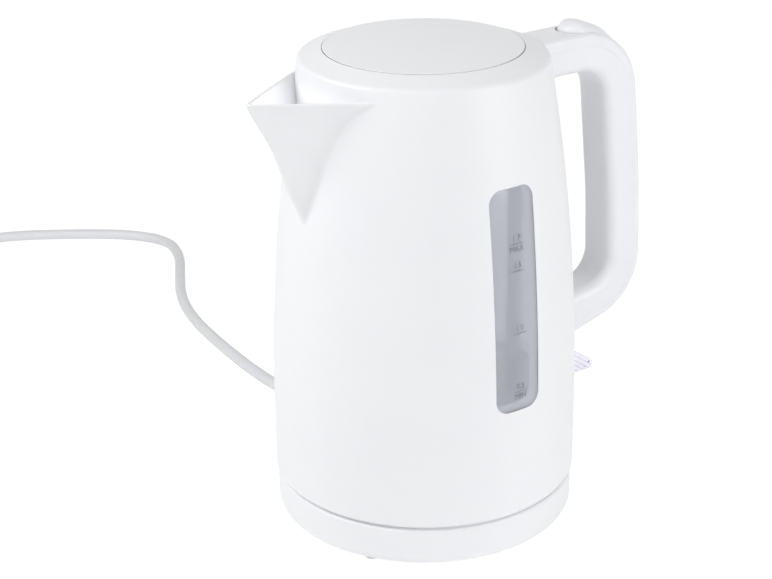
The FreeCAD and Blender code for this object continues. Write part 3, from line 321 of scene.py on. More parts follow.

# clear polycarbonate paddle: polished, milky from its thickness, with a faint painted glow, and violet lines and
# flecks painted in for the lamp's light inside it
# the wave texture repeats at about a third of line mm; flecks show from tipFrom to tipTo along X
clear = {"milk": 0.35, "glow": 0.1, "line": 7.0, "slope": 35.0, "wander": 1.5, "lineEdge": (0.8, 0.98),
         "lineDeep": 0.45, "fleck": 3.2, "fleckEdge": (0.34, 0.2), "tipFrom": 94, "tipTo": 101,
         "colours": ("#F7F6FC", "#8F86D8"), "rough": (0.03, 0.1)}
clearPolycarbonate, tree, shader, where = startMaterial("clearPolycarbonate", {
    "IOR": 1.45, "Transmission Weight": clear["milk"], "Emission Strength": clear["glow"]})
spots = addNode(tree, "ShaderNodeTexVoronoi", {"Scale": grain(clear["fleck"])},
                {"Vector": where}).outputs["Distance"]
fleck = addNode(tree, "ShaderNodeMapRange",
                {"From Min": clear["fleckEdge"][0], "From Max": clear["fleckEdge"][1]}, {"Value": spots})
place = addNode(tree, "ShaderNodeSeparateXYZ", {}, {"Vector": where})
tip = addNode(tree, "ShaderNodeMapRange", {"From Min": clear["tipFrom"] * mm, "From Max": clear["tipTo"] * mm},
              {"Value": place.outputs[0]})
# painted light: violet flecks of the lamp's light, only near the paddle's tip
paintedLight = addNode(tree, "ShaderNodeMath", {"operation": "MULTIPLY"}, {0: fleck.outputs[0], 1: tip.outputs[0]})
sloped = addNode(tree, "ShaderNodeMapping", {"Rotation": (0, -math.radians(clear["slope"]), 0)},
                 {"Vector": where})
# painted light: violet lines of the lamp's light across the paddle
bands = addNode(tree, "ShaderNodeTexWave", {"bands_direction": "Z", "Scale": grain(clear["line"]),
                                            "Distortion": clear["wander"], "Detail": 2.0},
                {"Vector": sloped.outputs[0]})
stripe = addNode(tree, "ShaderNodeMapRange", {"From Min": clear["lineEdge"][0], "From Max": clear["lineEdge"][1],
                                              "To Max": clear["lineDeep"]}, {"Value": bands.outputs["Fac"]})
violet = addNode(tree, "ShaderNodeMath", {"operation": "MAXIMUM"}, {0: paintedLight.outputs[0], 1: stripe.outputs[0]})
addNode(tree, "ShaderNodeMix",
        {"data_type": "RGBA", 6: tint(clear["colours"][0]), 7: tint(clear["colours"][1])},
        {0: violet.outputs[0]}, {2: shader.inputs["Base Color"]})
addNode(tree, "ShaderNodeMapRange", {"To Min": clear["rough"][0], "To Max": clear["rough"][1]},
        {"Value": spots}, {0: shader.inputs["Roughness"]})

# light grey acetal for the latch and levers: matt, faint mottle
greyAcetal = moulded("greyAcetal", {"IOR": 1.48}, 4, ("#C6C8CA", "#D2D4D5"), 1.5, (0.45, 0.6), 0.08)[0]

# black heat-proof polyamide with glass fibre: dull, speckled by the fibre
blackPolyamide = moulded("blackPolyamide", {"IOR": 1.53}, 0.8, ("#1B1B1C", "#2B2B2D"), 0.8, (0.5, 0.72), 0.15)[0]

# stainless steel, rolled and brushed: fine rings about the kettle's axis, drawn coarser than real brushing
brush = {"ring": 9, "wander": 0.6, "smear": 14, "colours": ("#B9BABC", "#CCCDCE"), "rough": (0.24, 0.36),
         "bump": 0.05, "deep": 0.02}
brushedSteel, tree, shader, where = startMaterial("brushedSteel", {"Metallic": 1.0})
strokes = addNode(tree, "ShaderNodeTexWave", {"wave_type": "RINGS", "rings_direction": "Z",
                                              "Scale": grain(brush["ring"]), "Distortion": brush["wander"],
                                              "Detail": 3.0, "Detail Scale": 2.0}, {"Vector": where}).outputs["Fac"]
smear = addNode(tree, "ShaderNodeTexNoise", {"Scale": grain(brush["smear"]), "Detail": 3.0}, {"Vector": where})
addNode(tree, "ShaderNodeMix",
        {"data_type": "RGBA", 6: tint(brush["colours"][0]), 7: tint(brush["colours"][1])},
        {0: smear.outputs["Fac"]}, {2: shader.inputs["Base Color"]})
addNode(tree, "ShaderNodeMapRange", {"To Min": brush["rough"][0], "To Max": brush["rough"][1]},
        {"Value": strokes}, {0: shader.inputs["Roughness"]})
addNode(tree, "ShaderNodeBump", {"Strength": brush["bump"], "Distance": brush["deep"] * mm},
        {"Height": strokes}, {0: shader.inputs["Normal"]})

# bare aluminium casting: grainy and soft
castAluminium = moulded("castAluminium", {"Metallic": 1.0}, 1.2, ("#B4B5B7", "#C9CACB"), 1.2, (0.38, 0.55), 0.2)[0]

# drawn brass contacts, slightly tarnished
drawnBrass = moulded("drawnBrass", {"Metallic": 1.0}, 3, ("#C29B52", "#D9B871"), 1.0, (0.22, 0.4), 0.03)[0]

# bright nickel on the plug's pins and clips, wiped by use
nickelPlate = moulded("nickelPlate", {"Metallic": 1.0}, 2.5, ("#C4C2BC", "#D8D6D1"), 2.5, (0.16, 0.3), 0.02)[0]

# milky silicone seal: soft, matt
milkySilicone = moulded("milkySilicone", {"IOR": 1.41, "Subsurface Weight": 0.2,
                                          "Subsurface Radius": (0.002, 0.002, 0.002)},
                        3, ("#DADAD6", "#E4E4E1"), 1.5, (0.5, 0.62), 0.05)[0]

# moulded rubber feet: off-white, dusty
footRubber = moulded("footRubber", {"IOR": 1.52}, 1.5, ("#E2E3E5", "#EBECED"), 1.0, (0.7, 0.85), 0.15)[0]

# soft white PVC of the lead and plug: extruded, satin, very slightly uneven
cordVinyl = moulded("cordVinyl", {"IOR": 1.53}, 9, ("#DEDFE2", "#E5E6E9"), 0.9, (0.4, 0.52), 0.05)[0]

# wire insulation inside the base: one PVC colour per core, by where it lies
cores = {"half": 4, "colours": ("#6B4630", "#7FA334", "#2E62A8"), "breaks": (0.3, 0.7), "fine": 1.2,
         "rough": (0.4, 0.55)}
wireVinyl, tree, shader, where = startMaterial("wireVinyl", {"IOR": 1.53})
place = addNode(tree, "ShaderNodeSeparateXYZ", {}, {"Vector": where})
core = addNode(tree, "ShaderNodeMapRange", {"From Min": -cores["half"] * mm, "From Max": cores["half"] * mm},
               {"Value": place.outputs[0]})
ramp = addNode(tree, "ShaderNodeValToRGB", {}, {"Fac": core.outputs[0]},
               {0: shader.inputs["Base Color"]}).color_ramp
ramp.interpolation = "CONSTANT"
ramp.elements[0].color = tint(cores["colours"][0])
ramp.elements[1].position = cores["breaks"][1]
ramp.elements[1].color = tint(cores["colours"][2])
ramp.elements.new(cores["breaks"][0]).color = tint(cores["colours"][1])
skin = addNode(tree, "ShaderNodeTexNoise", {"Scale": grain(cores["fine"])}, {"Vector": where})
addNode(tree, "ShaderNodeMapRange", {"To Min": cores["rough"][0], "To Max": cores["rough"][1]},
        {"Value": skin.outputs["Fac"]}, {0: shader.inputs["Roughness"]})

# neon lamp: glass tube with a faint violet glow
neonGlass = moulded("neonGlass", {"IOR": 1.5, "Transmission Weight": 0.6, "Emission Strength": 0.6,
                                  "Emission Color": tint("#8A95FF")},
                    2, ("#BFC8FF", "#E2E6FF"), 2, (0.08, 0.2), 0.02)[0]

# pad-printed ink of the water scale: grey, dull, thin enough to let the window show
scaleInk = moulded("scaleInk", {"IOR": 1.5}, 0.5, ("#666970", "#787B82"), 0.5, (0.5, 0.65), 0.05)[0]

finishes = {
    "white_plastic": whitePolypropylene, "window_plastic": smokyWindow, "clear_plastic": clearPolycarbonate,
    "grey_plastic": greyAcetal, "black_plastic": blackPolyamide, "steel": brushedSteel,
    "aluminium": castAluminium, "brass": drawnBrass, "silicone": milkySilicone, "foot_rubber": footRubber,
    "cord_rubber": cordVinyl, "wire_sleeve": wireVinyl, "lamp_glass": neonGlass,
}
for part in frame["record"]["subparts"]:
    obj = nodes[part["node"]]
    obj.data.materials.clear()
    obj.data.materials.append(finishes[part["material_slot"]])
for name in ("handle_cover", "handle_inner", "lid_button"):
    nodes[name].data.materials[0] = gripPolypropylene
print("materials: %d finishes" % len(bpy.data.materials))


# camera at the photograph's place
view = {"place": (-0.51923, -0.70170, 0.49202), "turn": (66.8489, 0.5672, -35.4911),
        "lens": 87.96, "sensor": 36.0}
lensData = bpy.data.cameras.new("photoCamera")
lensData.lens = view["lens"]
lensData.sensor_width = view["sensor"]
camera = bpy.data.objects.new("photoCamera", lensData)
camera.location = view["place"]
camera.rotation_euler = Euler([math.radians(angle) for angle in view["turn"]])
bpy.context.collection.objects.link(camera)
bpy.context.scene.camera = camera
bpy.context.scene.view_settings.view_transform = "Standard"


# mains lead: the route's points in metres, one smooth spline
lead = {"diameter": 6.8, "length": 0.70, "exit": (0, 0.099, 0.0132), "steps": 10, "sides": 6, "route": [
    (0, 0.099, 0.0132), (0.001, 0.123, 0.01), (0.003, 0.15, 0.0052), (0.005, 0.184, 0.00345),
    (0.0085, 0.226, 0.00345), (0.0145, 0.268, 0.00345), (0.0255, 0.302, 0.00345), (0.0435, 0.3345, 0.00345),
    (0.0605, 0.364, 0.00345), (0.0685, 0.3935, 0.00345), (0.053, 0.421, 0.00345), (0.024, 0.444, 0.00345),
    (-0.01, 0.4665, 0.00345), (-0.046, 0.48, 0.00345), (-0.082, 0.465, 0.00345), (-0.097, 0.432, 0.00345),
    (-0.099, 0.398, 0.00345), (-0.114, 0.373, 0.00345), (-0.141, 0.363, 0.00345), (-0.168, 0.371, 0.00345),
    (-0.185, 0.394, 0.0042), (-0.187, 0.422, 0.0065)]}
mainsLead = tube("mainsLead", lead["route"], 0.5 * lead["diameter"] * mm, lead["steps"], lead["sides"])
finishPiece(mainsLead, "mainsLead", "power_base", cordVinyl, ["power_cord"])
print("lead: laid")


# strain relief: moulded collar with soft ribs that thin out along the lead, as (radius, distance) in mm
relief = {"axisZ": 13.2, "sides": 40, "ribs": 9, "start": 76.4, "pitch": 2.4, "wide": 5.5, "narrow": 4.15,
          "collar": [(6.6, 70.0), (7.0, 70.4), (7.0, 72.7), (6.7, 73.0), (5.5, 73.0), (5.5, 76.2)],
          "rib": [(-0.7, 0.0), (-0.9, 0.35), (-0.8, 0.8), (-0.15, 1.0), (0.0, 1.3), (-0.05, 2.1), (-0.25, 2.35)],
          "tip": [(4.15, 98.2), (4.05, 98.7), (3.6, 99.0)]}
thinning = (relief["narrow"] - relief["wide"]) / relief["ribs"]
crests = [relief["wide"] + thinning * i for i in range(relief["ribs"])]
obj = turned(relief["collar"] + ribbed(relief["start"], relief["pitch"], crests, relief["rib"]) + relief["tip"],
             relief["sides"])
obj.rotation_euler = (math.radians(-90), 0, 0)
obj.location = (0, 0, relief["axisZ"] * mm)
finishPiece(settle(obj), "strainRelief", "power_base", cordVinyl, ["strain_relief"])


# mains plug on its back: round body with a grip groove, ribbed boss, two pins and two earth clips
mainsPlug = {"end": (-187.0, 422.0, 6.5), "heading": (-0.07125, 0.99746, 0.0), "reach": 43.0,
             "bodySides": 72, "pinSides": 32, "pinGap": 9.5,
             "body": [(17.0, 0.0), (18.4, 0.4), (19.0, 1.6), (19.0, 7.6), (18.7, 8.1), (18.2, 8.4), (18.2, 10.4),
                      (18.7, 10.7), (19.0, 11.2), (19.0, 21.4), (18.7, 22.8), (17.8, 23.7), (16.6, 24.0),
                      (15.4, 24.0), (15.0, 23.8), (14.7, 23.3), (14.5, 22.8)],
             "pin": [(2.3, 16.0), (2.4, 16.4), (2.4, 41.2), (2.28, 42.0), (1.9, 42.6), (1.3, 42.9), (0.6, 43.0)]}
earthNotch = {"out": 18.4, "z": 16, "size": (4.4, 3.6, 20)}
earthClip = {"out": 17.1, "z": 15, "size": (4, 0.9, 18), "cuts": 5, "bow": 0.45, "bowHalf": 4, "edge": 0.2}
boss = {"sides": 40, "ribs": 7, "start": 0.8, "pitch": 2.5, "slim": 4.35, "grows": 0.12,
        "end": [(4.1, 0.0), (4.25, 0.3)], "root": [(5.3, 19.0), (5.6, 24.0), (5.6, 30.0)],
        "rib": [(0.0, 0.0), (0.05, 1.4), (-0.15, 1.6), (-0.7, 1.75), (-0.7, 2.2), (-0.1, 2.4)]}
heading = Vector(mainsPlug["heading"])
middle = Vector(mainsPlug["end"]) + heading * mainsPlug["reach"]
middle.z = 0
plugRound = turned(mainsPlug["body"], mainsPlug["bodySides"])
plugRound.location = middle * mm
settle(plugRound)
for side in (1, -1):  # notches that the earth clips lie in
    spot = (middle.x, middle.y + side * earthNotch["out"], earthNotch["z"])
    cutAway(plugRound, block(spot, earthNotch["size"]))
crests = [boss["slim"] + boss["grows"] * i for i in range(boss["ribs"])]
plugBoss = turned(boss["end"] + ribbed(boss["start"], boss["pitch"], crests, boss["rib"]) + boss["root"],
                  boss["sides"])
plugBoss.rotation_euler = heading.to_track_quat("Z", "Y").to_euler()
plugBoss.location = Vector(mainsPlug["end"]) * mm
plugShell = joined([plugRound, settle(plugBoss)])
finishPiece(tidyMesh(plugShell), "plugShell", "power_base", cordVinyl, ["plug_body"])
pin = turned(mainsPlug["pin"], mainsPlug["pinSides"])
pins = [copyAt(pin, middle + Vector((side * mainsPlug["pinGap"], 0, 0))) for side in (1, -1)]
drop(pin)
plugPins = finishPiece(joined(pins), "plugPins", "power_base", nickelPlate, ["plug_pins"])
clips = []
for side in (1, -1):  # sprung strips, bowed out a little half way up
    clip = block((middle.x, middle.y + side * earthClip["out"], earthClip["z"]), earthClip["size"])
    bpy.ops.object.mode_set(mode="EDIT")
    bpy.ops.mesh.select_all(action="SELECT")
    bpy.ops.mesh.subdivide(number_cuts=earthClip["cuts"])
    selectWhere(clip, lambda vert: abs(vert.co.z - earthClip["z"] * mm) < earthClip["bowHalf"] * mm, "verts")
    bpy.ops.transform.translate(value=(0, side * earthClip["bow"] * mm, 0))
    bpy.ops.object.mode_set(mode="OBJECT")
    clips.append(shape(clip, "BEVEL", width=earthClip["edge"] * mm, segments=2, limit_method="ANGLE"))
plugClips = finishPiece(tidyMesh(joined(clips)), "plugClips", "power_base", nickelPlate,
                        ["plug_earth_clips"])
print("plug: shell, pins and clips")


# rubber feet with a rolled edge
feet = {"count": 5, "ring": 65.5, "first": -150.0, "sides": 36,
        "profile": [(2.7, 0.0), (3.2, 0.1), (3.5, 0.5), (3.7, 1.4), (4.0, 3.0)]}
foot = turned(feet["profile"], feet["sides"])
around = [feet["first"] + 360 / feet["count"] * i for i in range(feet["count"])]
allFeet = joined([copyAt(foot, place) for place in ringOf(feet["ring"], around)])
drop(foot)
finishPiece(allFeet, "rubberFeet", "power_base", footRubber, ["base_feet"])


# cross-head screws: head as (share of its radius, height), the rest in mm or in shares of the shank or head
thread = {"head": [(0.72, 0.0), (0.92, 0.12), (1.0, 0.4), (1.0, 1.2)], "shank": 1.5, "root": 0.78, "first": 0.3,
          "pitch": 1.1, "rise": 0.4, "plain": 1.4, "point": 0.3, "pointTall": 0.5, "sides": 28,
          "slotLong": 1.25, "slotWide": 0.3, "slotTall": 1.3}


def crossScrew(head, low, top):
    shank, root = thread["shank"], thread["root"] * thread["shank"]
    neck = low + thread["head"][-1][1]
    rings = [(part * head, low + up) for part, up in thread["head"]] + [(shank, neck)]
    z = neck + thread["first"]
    while z < top - thread["plain"]:  # thread drawn as rings
        rings += [(root, z), (shank, z + thread["rise"]), (root, z + 2 * thread["rise"])]
        z += thread["pitch"]
    rings += [(root, top - thread["pointTall"]), (thread["point"] * shank, top)]
    screw = turned(rings, thread["sides"])
    recess = (thread["slotLong"] * head, thread["slotWide"] * head, thread["slotTall"])
    for turn in (0, 90):  # recess for the driver
        cutAway(screw, block((0, 0, low), recess, turn))
    return tidyMesh(screw)


screws = {
    "base_screws": {"name": "baseScrews", "body": "power_base", "head": 3.0, "low": 3.4, "top": 16.0,
                    "places": ringOf(45, (45, 135, 225, 315))},
    "bottom_cover_screws": {"name": "bottomCoverScrews", "body": "jug", "head": 2.0, "low": 25.9, "top": 42.1,
                            "places": ringOf(69.85, (60, 180, 300))},
    "handle_screws": {"name": "handleScrews", "body": "jug", "head": 3.0, "low": 74.8, "top": 80.0,
                      "places": [(90, 0, 0), (103, 0, 2.5)]},
}
for node, screw in screws.items():
    model = crossScrew(screw["head"], screw["low"], screw["top"])
    copies = [copyAt(model, place) for place in screw["places"]]
    drop(model)
    for copy in copies:
        for vert in copy.data.vertices:  # the far end of a raised one stays where its hole ends
            vert.co.z = min(vert.co.z, screw["top"] * mm)
    finishPiece(joined(copies), screw["name"], screw["body"], brushedSteel, [node])
print("fasteners: feet and screws")


# wire coils, tipped about X in degrees
lidCoil = {"place": (57.0, -3.1, 235.5), "tip": -90, "radius": 2.25, "wire": 0.42, "pitch": 0.885, "turns": 7}
latchCoil = {"place": (74.0, 0.0, 220.3), "tip": 0, "radius": 2.25, "wire": 0.3, "pitch": 0.9, "turns": 3}
coilCuts = {"wire": 10, "turn": 24, "smooth": 50}


def coil(form):
    bpy.ops.object.select_all(action="DESELECT")
    bpy.ops.mesh.primitive_circle_add(vertices=coilCuts["wire"], radius=form["wire"] * mm,
                                      location=(form["radius"] * mm, 0, 0), rotation=(math.radians(90), 0, 0))
    obj = settle(bpy.context.object)
    shape(obj, "SCREW", axis="Z", angle=2 * math.pi, screw_offset=form["pitch"] * mm, iterations=form["turns"],
          steps=coilCuts["turn"], render_steps=coilCuts["turn"], use_merge_vertices=True,
          merge_threshold=weld["built"] * mm)
    bpy.ops.object.mode_set(mode="EDIT")
    selectWhere(obj, lambda edge: edge.is_boundary, "edges")
    bpy.ops.mesh.edge_face_add()
    bpy.ops.object.mode_set(mode="OBJECT")
    tidyMesh(obj, coilCuts["smooth"])
    obj.rotation_euler = (math.radians(form["tip"]), 0, 0)
    obj.location = Vector(form["place"]) * mm
    return settle(obj)


finishPiece(coil(lidCoil), "lidSpringCoil", "jug", brushedSteel, ["lid_spring"])
latchSpringCoil = finishPiece(coil(latchCoil), "latchSpringCoil", "jug", brushedSteel, ["latch_spring"])
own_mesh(latchSpringCoil)


# woven filter cloth: a grid pressed onto the filter's curve and turned to wire
cloth = {"wide": 57.6, "tall": 49.6, "startX": -85, "middleZ": 204.0, "cell": 1.3, "wire": 0.32, "sunk": 0.25}
bpy.ops.object.select_all(action="DESELECT")
bpy.ops.mesh.primitive_grid_add(x_subdivisions=round(cloth["tall"] / cloth["cell"]),
                                y_subdivisions=round(cloth["wide"] / cloth["cell"]), size=1,
                                location=(cloth["startX"] * mm, 0, cloth["middleZ"] * mm),
                                rotation=(0, math.radians(90), 0))
obj = bpy.context.object
obj.scale = (cloth["tall"] * mm, cloth["wide"] * mm, 1)
settle(obj)
pressOnto(obj, "filter_mesh", "X", True, -cloth["sunk"])
shape(obj, "WIREFRAME", thickness=cloth["wire"] * mm, use_even_offset=True, use_boundary=True, use_replace=True)
finishPiece(tidyMesh(obj, 60), "filterCloth", "filter", brushedSteel, ["filter_mesh"])
print("springs and filter cloth")


# water scale printed on the window; textShare is the font's size against its figures' height
scale = {"middleX": 1.0, "startY": -90, "lineLong": 7.6, "lineTall": 0.35, "lineCuts": 12, "letter": 3.0,
         "textShare": 1.35, "off": 2.6, "lift": 0.05, "ink": 0.04,
         "marks": [(166.0, "1.7", "MAX"), (152.7, "1.5", ""), (121.6, "1.0", ""), (91.8, "0.5", "MIN")]}
upright = (math.radians(90), 0, 0)


def printText(words, z):
    bpy.ops.object.select_all(action="DESELECT")
    bpy.ops.object.text_add(location=(scale["middleX"] * mm, scale["startY"] * mm, z * mm), rotation=upright)
    text = bpy.context.object
    text.data.body = words
    text.data.align_x = "CENTER"
    text.data.align_y = "CENTER"
    text.data.size = scale["textShare"] * scale["letter"] * mm
    text.data.resolution_u = 3
    bpy.ops.object.convert(target="MESH")
    return settle(bpy.context.object)


printed = []
for z, number, word in scale["marks"]:
    bpy.ops.object.select_all(action="DESELECT")
    bpy.ops.mesh.primitive_grid_add(x_subdivisions=scale["lineCuts"], y_subdivisions=1, size=1, rotation=upright,
                                    location=(scale["middleX"] * mm, scale["startY"] * mm, z * mm))
    dash = bpy.context.object
    dash.scale = (scale["lineLong"] * mm, scale["lineTall"] * mm, 1)
    printed += [settle(dash), printText(number, z + scale["off"])]
    if word:
        printed.append(printText(word, z - scale["off"]))
marks = joined(printed)
pressOnto(marks, "level_window", "Y", True, scale["lift"])
shape(marks, "SOLIDIFY", thickness=scale["ink"] * mm, offset=1.0)
finishPiece(marks, "waterScale", "jug", scaleInk)
print("window: water scale printed")


# white collar that the window is welded to, standing into the jug round the opening
collar = {"half": 12.3, "low": 82.6, "high": 192.2, "round": 6.4, "roundCuts": 8, "startY": -40,
          "straight": 10, "straightCuts": 24, "gap": 0.3, "deep": 4.2, "thick": 1.0}
bpy.ops.object.select_all(action="DESELECT")
bpy.ops.mesh.primitive_plane_add(size=1, rotation=upright,
                                 location=(0, collar["startY"] * mm, 0.5 * (collar["low"] + collar["high"]) * mm))
obj = bpy.context.object
obj.scale = (2 * collar["half"] * mm, (collar["high"] - collar["low"]) * mm, 1)
settle(obj)
bpy.ops.object.mode_set(mode="EDIT")
bpy.ops.mesh.select_all(action="SELECT")
bpy.ops.mesh.bevel(offset=collar["round"] * mm, segments=collar["roundCuts"], affect="VERTICES")
bpy.ops.mesh.delete(type="ONLY_FACE")
selectWhere(obj, lambda edge: edge.calc_length() > collar["straight"] * mm, "edges")
bpy.ops.mesh.subdivide(number_cuts=collar["straightCuts"])
bpy.ops.object.mode_set(mode="OBJECT")
pressOnto(obj, "level_window", "Y", False, collar["gap"])
bpy.ops.object.mode_set(mode="EDIT")
bpy.ops.mesh.select_all(action="SELECT")
bpy.ops.mesh.extrude_region_move(TRANSFORM_OT_translate={"value": (0, collar["deep"] * mm, 0)})
bpy.ops.object.mode_set(mode="OBJECT")
shape(tidyMesh(obj), "SOLIDIFY", thickness=collar["thick"] * mm, offset=0.0)
finishPiece(tidyMesh(obj), "windowCollar", "jug", collarPolypropylene)


# spout: a copy of the jug whose straight vee is drawn in below the lip, so its creases curve out to the corners
# narrow: (height, share of the solid's width); crease: (height, turn from the spout's middle in degrees)
# bodyR, bendR, bendZ: the jug's barrel, an arc of bendR that is widest, at bodyR, at the height bendZ
vee = {"narrow": [(181, 1.0), (187, 0.95), (194, 0.88), (204, 0.79), (213, 0.76), (221, 0.75), (226, 0.8),
                  (230, 0.9), (233.4, 1.0)],
       "crease": [(171.4, 0.6), (234.0, 32.0)], "fade": 20.0, "hollow": 2.0, "hollowSpan": (186, 234),
       "ridge": 14.0, "bodyR": 76.85, "bendR": 1040.0, "bendZ": 58.2, "wall": 2.4, "skin": 2.0,
       "longEdge": 3.0, "passes": 5, "region": {"x": -35, "y": 50, "z": 120}}


def share(value, start, end):
    return min(max((value - start) / (end - start), 0), 1)


def stepped(steps, z):
    # straight lines between the steps, level past both ends
    for (z0, s0), (z1, s1) in zip(steps, steps[1:]):
        if z <= z1:
            return s0 + (s1 - s0) * share(z, z0, z1)
    return steps[-1][1]


def drawnIn(point):
    # turns a point about the jug's axis towards the spout's middle, and hollows the spout's front a little
    x, y, z = (value / mm for value in point)
    radius, turn = math.hypot(x, y), math.degrees(math.atan2(y, -x))
    body = vee["bodyR"] - vee["bendR"] + math.sqrt(vee["bendR"] ** 2 - (z - vee["bendZ"]) ** 2)
    crease = stepped(vee["crease"], z)
    pull = (1 - stepped(vee["narrow"], z)) * min(abs(turn), crease)
    pull *= share(radius - body + vee["wall"], 0, vee["skin"])
    pull *= (1 - share(abs(turn) - crease, 0, vee["fade"])) ** 2
    angle = math.radians(math.copysign(abs(turn) - pull, turn))
    wave = math.sin(math.pi * share(z, *vee["hollowSpan"])) ** 2
    radius -= vee["hollow"] * wave * share(radius - body, 0, vee["ridge"])
    return Vector((-radius * math.cos(angle), radius * math.sin(angle), z)) * mm


def longInSpout(edge):
    near = vee["region"]
    return edge.calc_length() > vee["longEdge"] * mm and all(
        vert.co.x < near["x"] * mm and abs(vert.co.y) < near["y"] * mm and vert.co.z > near["z"] * mm
        for vert in edge.verts)


obj = bpy.data.objects.new("jugWork", nodes["jug_body"].data.copy())
bpy.context.collection.objects.link(obj)
pick(obj)
bpy.ops.object.mode_set(mode="EDIT")
bpy.ops.mesh.select_all(action="SELECT")
bpy.ops.mesh.remove_doubles(threshold=weld["cad"] * mm, use_sharp_edge_from_normals=True)
for again in range(vee["passes"]):
    selectWhere(obj, longInSpout, "edges")
    bpy.ops.mesh.subdivide(number_cuts=1)
bpy.ops.object.mode_set(mode="OBJECT")
for vert in obj.data.vertices:
    if vert.co.x < vee["region"]["x"] * mm and vert.co.z > vee["narrow"][0][0] * mm:
        vert.co = drawnIn(vert.co)
finishPiece(obj, "jugShell", "jug", jugPolypropylene, ["jug_body"])
print("spout: %d faces in the jug's shell" % len(obj.data.polygons))


# thin wall behind the lid's hinge, between the handle's top and the shoulder
skirt = {"radius": 60.8, "half": 10.2, "low": 237.15, "high": 239.3, "lean": 0.38, "thick": 0.6, "sides": 360}
bpy.ops.object.select_all(action="DESELECT")
bpy.ops.mesh.primitive_circle_add(vertices=skirt["sides"], radius=skirt["radius"] * mm,
                                  location=(0, 0, skirt["low"] * mm))
obj = settle(bpy.context.object)
bpy.ops.object.mode_set(mode="EDIT")
selectWhere(obj, lambda vert: vert.co.x < 0 or abs(vert.co.y) > skirt["half"] * mm, "verts")
bpy.ops.mesh.delete(type="VERT")
bpy.ops.mesh.select_all(action="SELECT")
bpy.ops.mesh.extrude_region_move(TRANSFORM_OT_translate={
    "value": (-skirt["lean"] * mm, 0, (skirt["high"] - skirt["low"]) * mm)})
bpy.ops.object.mode_set(mode="OBJECT")
shape(tidyMesh(obj), "SOLIDIFY", thickness=skirt["thick"] * mm, offset=0.0)
finishPiece(tidyMesh(obj), "hingeSkirt", "jug", whitePolypropylene)


# rolled edge on the spout's lip
lip = {"z": 234.2, "radius": 0.68, "steps": 16, "sides": 5,
       "line": [(-51.9, -32.7), (-94.4, -3.8), (-99.4, 0.0), (-94.4, 3.8), (-51.9, 32.7)]}
edge = [(x * mm, y * mm, lip["z"] * mm) for x, y in lip["line"]]
obj = tube("lipEdge", edge, lip["radius"] * mm, lip["steps"], lip["sides"])
pick(obj)
bpy.ops.object.convert(target="MESH")
finishPiece(tidyMesh(bpy.context.object, 60), "lipEdge", "jug", whitePolypropylene)


# switch paddle: rounded copy of its solid
paddle = {"edge": 0.6, "cuts": 3, "sharp": 50}
obj = cadCopy("switch_lever")
shape(obj, "BEVEL", width=paddle["edge"] * mm, segments=paddle["cuts"], limit_method="ANGLE",
      angle_limit=math.radians(paddle["sharp"]))
finishPiece(tidyMesh(obj, 40), "switchPaddle", "switch", clearPolycarbonate, ["switch_lever"])


# stiffening rings moulded under the base
under = {"rings": [27.0, 53.0], "wide": 1.2, "low": 2.55, "high": 3.05, "sides": 96, "cuts": 12}
ribs = []
for radius in under["rings"]:
    bpy.ops.object.select_all(action="DESELECT")
    bpy.ops.mesh.primitive_torus_add(major_radius=radius * mm, minor_radius=0.5 * under["wide"] * mm,
                                     major_segments=under["sides"], minor_segments=under["cuts"],
                                     location=(0, 0, under["high"] * mm))
    rib = bpy.context.object
    rib.scale = (1, 1, (under["high"] - under["low"]) / (0.5 * under["wide"]))
    ribs.append(settle(rib))
finishPiece(tidyMesh(joined(ribs)), "undersideRings", "power_base", whitePolypropylene)
print("lip, paddle and underside")


# floor, world and lamps
def seenRays(tree):
    # 1 for the rays that show the stage itself: straight to the camera, or by way of gloss or clear plastic
    rays = addNode(tree, "ShaderNodeLightPath").outputs
    plain = addNode(tree, "ShaderNodeMath", {"operation": "MAXIMUM"},
                    {0: rays["Is Camera Ray"], 1: rays["Is Glossy Ray"]})
    return addNode(tree, "ShaderNodeMath", {"operation": "MAXIMUM"},
                   {0: plain.outputs[0], 1: rays["Is Transmission Ray"]}).outputs[0]


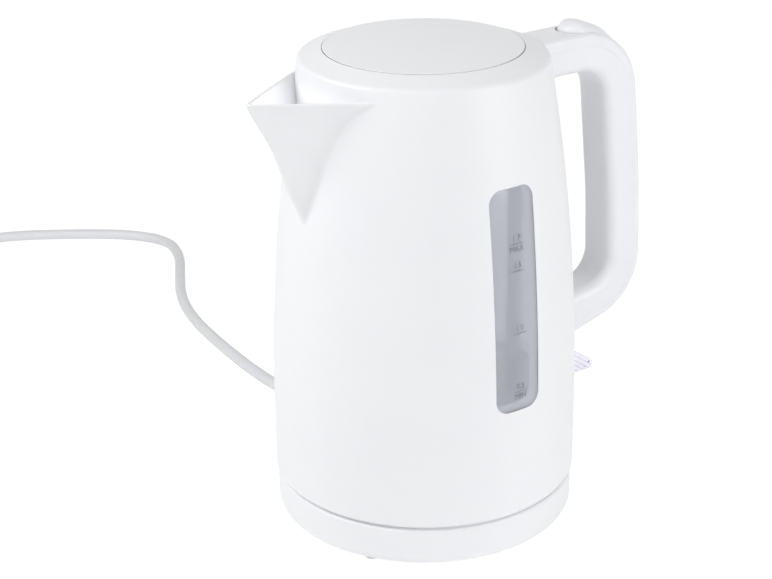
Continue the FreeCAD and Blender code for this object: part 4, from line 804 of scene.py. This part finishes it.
# the floor that is seen glows to white and takes the shadow; the floor that lights the kettle is a pale card
floorSetup = {"size": 6.0, "card": "#F0F0F0", "cardGlow": 0.18, "seenGlow": 0.9, "seenShade": 0.22}
bpy.ops.object.select_all(action="DESELECT")
bpy.ops.mesh.primitive_plane_add(size=floorSetup["size"], location=(0, 0, 0))
floor = bpy.context.object
floor.name = "studioFloor"
floorPaint = bpy.data.materials.new("floorPaint")
floorPaint.use_nodes = True
tree = floorPaint.node_tree
tree.nodes.remove(tree.nodes["Principled BSDF"])
looks = []
for colour, glow in ((tint(floorSetup["card"]), floorSetup["cardGlow"]),
                     ((*[floorSetup["seenShade"]] * 3, 1), floorSetup["seenGlow"])):
    matt = addNode(tree, "ShaderNodeBsdfDiffuse", {"Color": colour})
    light = addNode(tree, "ShaderNodeEmission", {"Strength": glow})
    looks.append(addNode(tree, "ShaderNodeAddShader", {}, {0: matt.outputs[0], 1: light.outputs[0]}).outputs[0])
addNode(tree, "ShaderNodeMixShader", {}, {0: seenRays(tree), 1: looks[0], 2: looks[1]},
        {0: tree.nodes["Material Output"].inputs["Surface"]})
floor.data.materials.append(floorPaint)

# a white backdrop to look at, a soft light from above for the kettle
skySetup = {"zenith": 0.66, "horizon": 0.0, "seen": 1.0}
world = bpy.data.worlds.new("studioWorld")
bpy.context.scene.world = world
world.use_nodes = True
tree = world.node_tree
sky = tree.nodes["Background"].inputs
sky["Color"].default_value = (1, 1, 1, 1)
aim = addNode(tree, "ShaderNodeTexCoord")
height = addNode(tree, "ShaderNodeSeparateXYZ", {}, {"Vector": aim.outputs["Generated"]})
level = addNode(tree, "ShaderNodeMapRange", {"From Min": 0.0, "From Max": 1.0, "To Min": skySetup["horizon"],
                                             "To Max": skySetup["zenith"]}, {"Value": height.outputs[2]})
addNode(tree, "ShaderNodeMix", {"data_type": "FLOAT", 3: skySetup["seen"]},
        {0: seenRays(tree), 2: level.outputs[0]}, {0: sky["Strength"]})

lampAim = Vector((0, 0, 0.13))
lamps = {
    "leftSoftbox": {"place": (-0.62, 0.2, 0.62), "size": 0.5, "power": 3.1},
    "frontSoftbox": {"place": (-1.0, -0.95, 0.9), "size": 1.1, "power": 3.2},
    "rightSoftbox": {"place": (0.55, -1.25, 0.6), "size": 1.1, "power": 7.15},
    "lowSoftbox": {"place": (0.6, -1.2, 0.25), "size": 0.5, "power": 1.0},
}
for name, lamp in lamps.items():
    light = bpy.data.lights.new(name, "AREA")
    light.shape = "DISK"
    light.size = lamp["size"]
    light.energy = lamp["power"]
    obj = bpy.data.objects.new(name, light)
    obj.location = lamp["place"]
    obj.rotation_euler = (lampAim - Vector(lamp["place"])).to_track_quat("-Z", "Y").to_euler()
    bpy.context.collection.objects.link(obj)
print("stage: floor, world and %d lamps" % len(lamps))
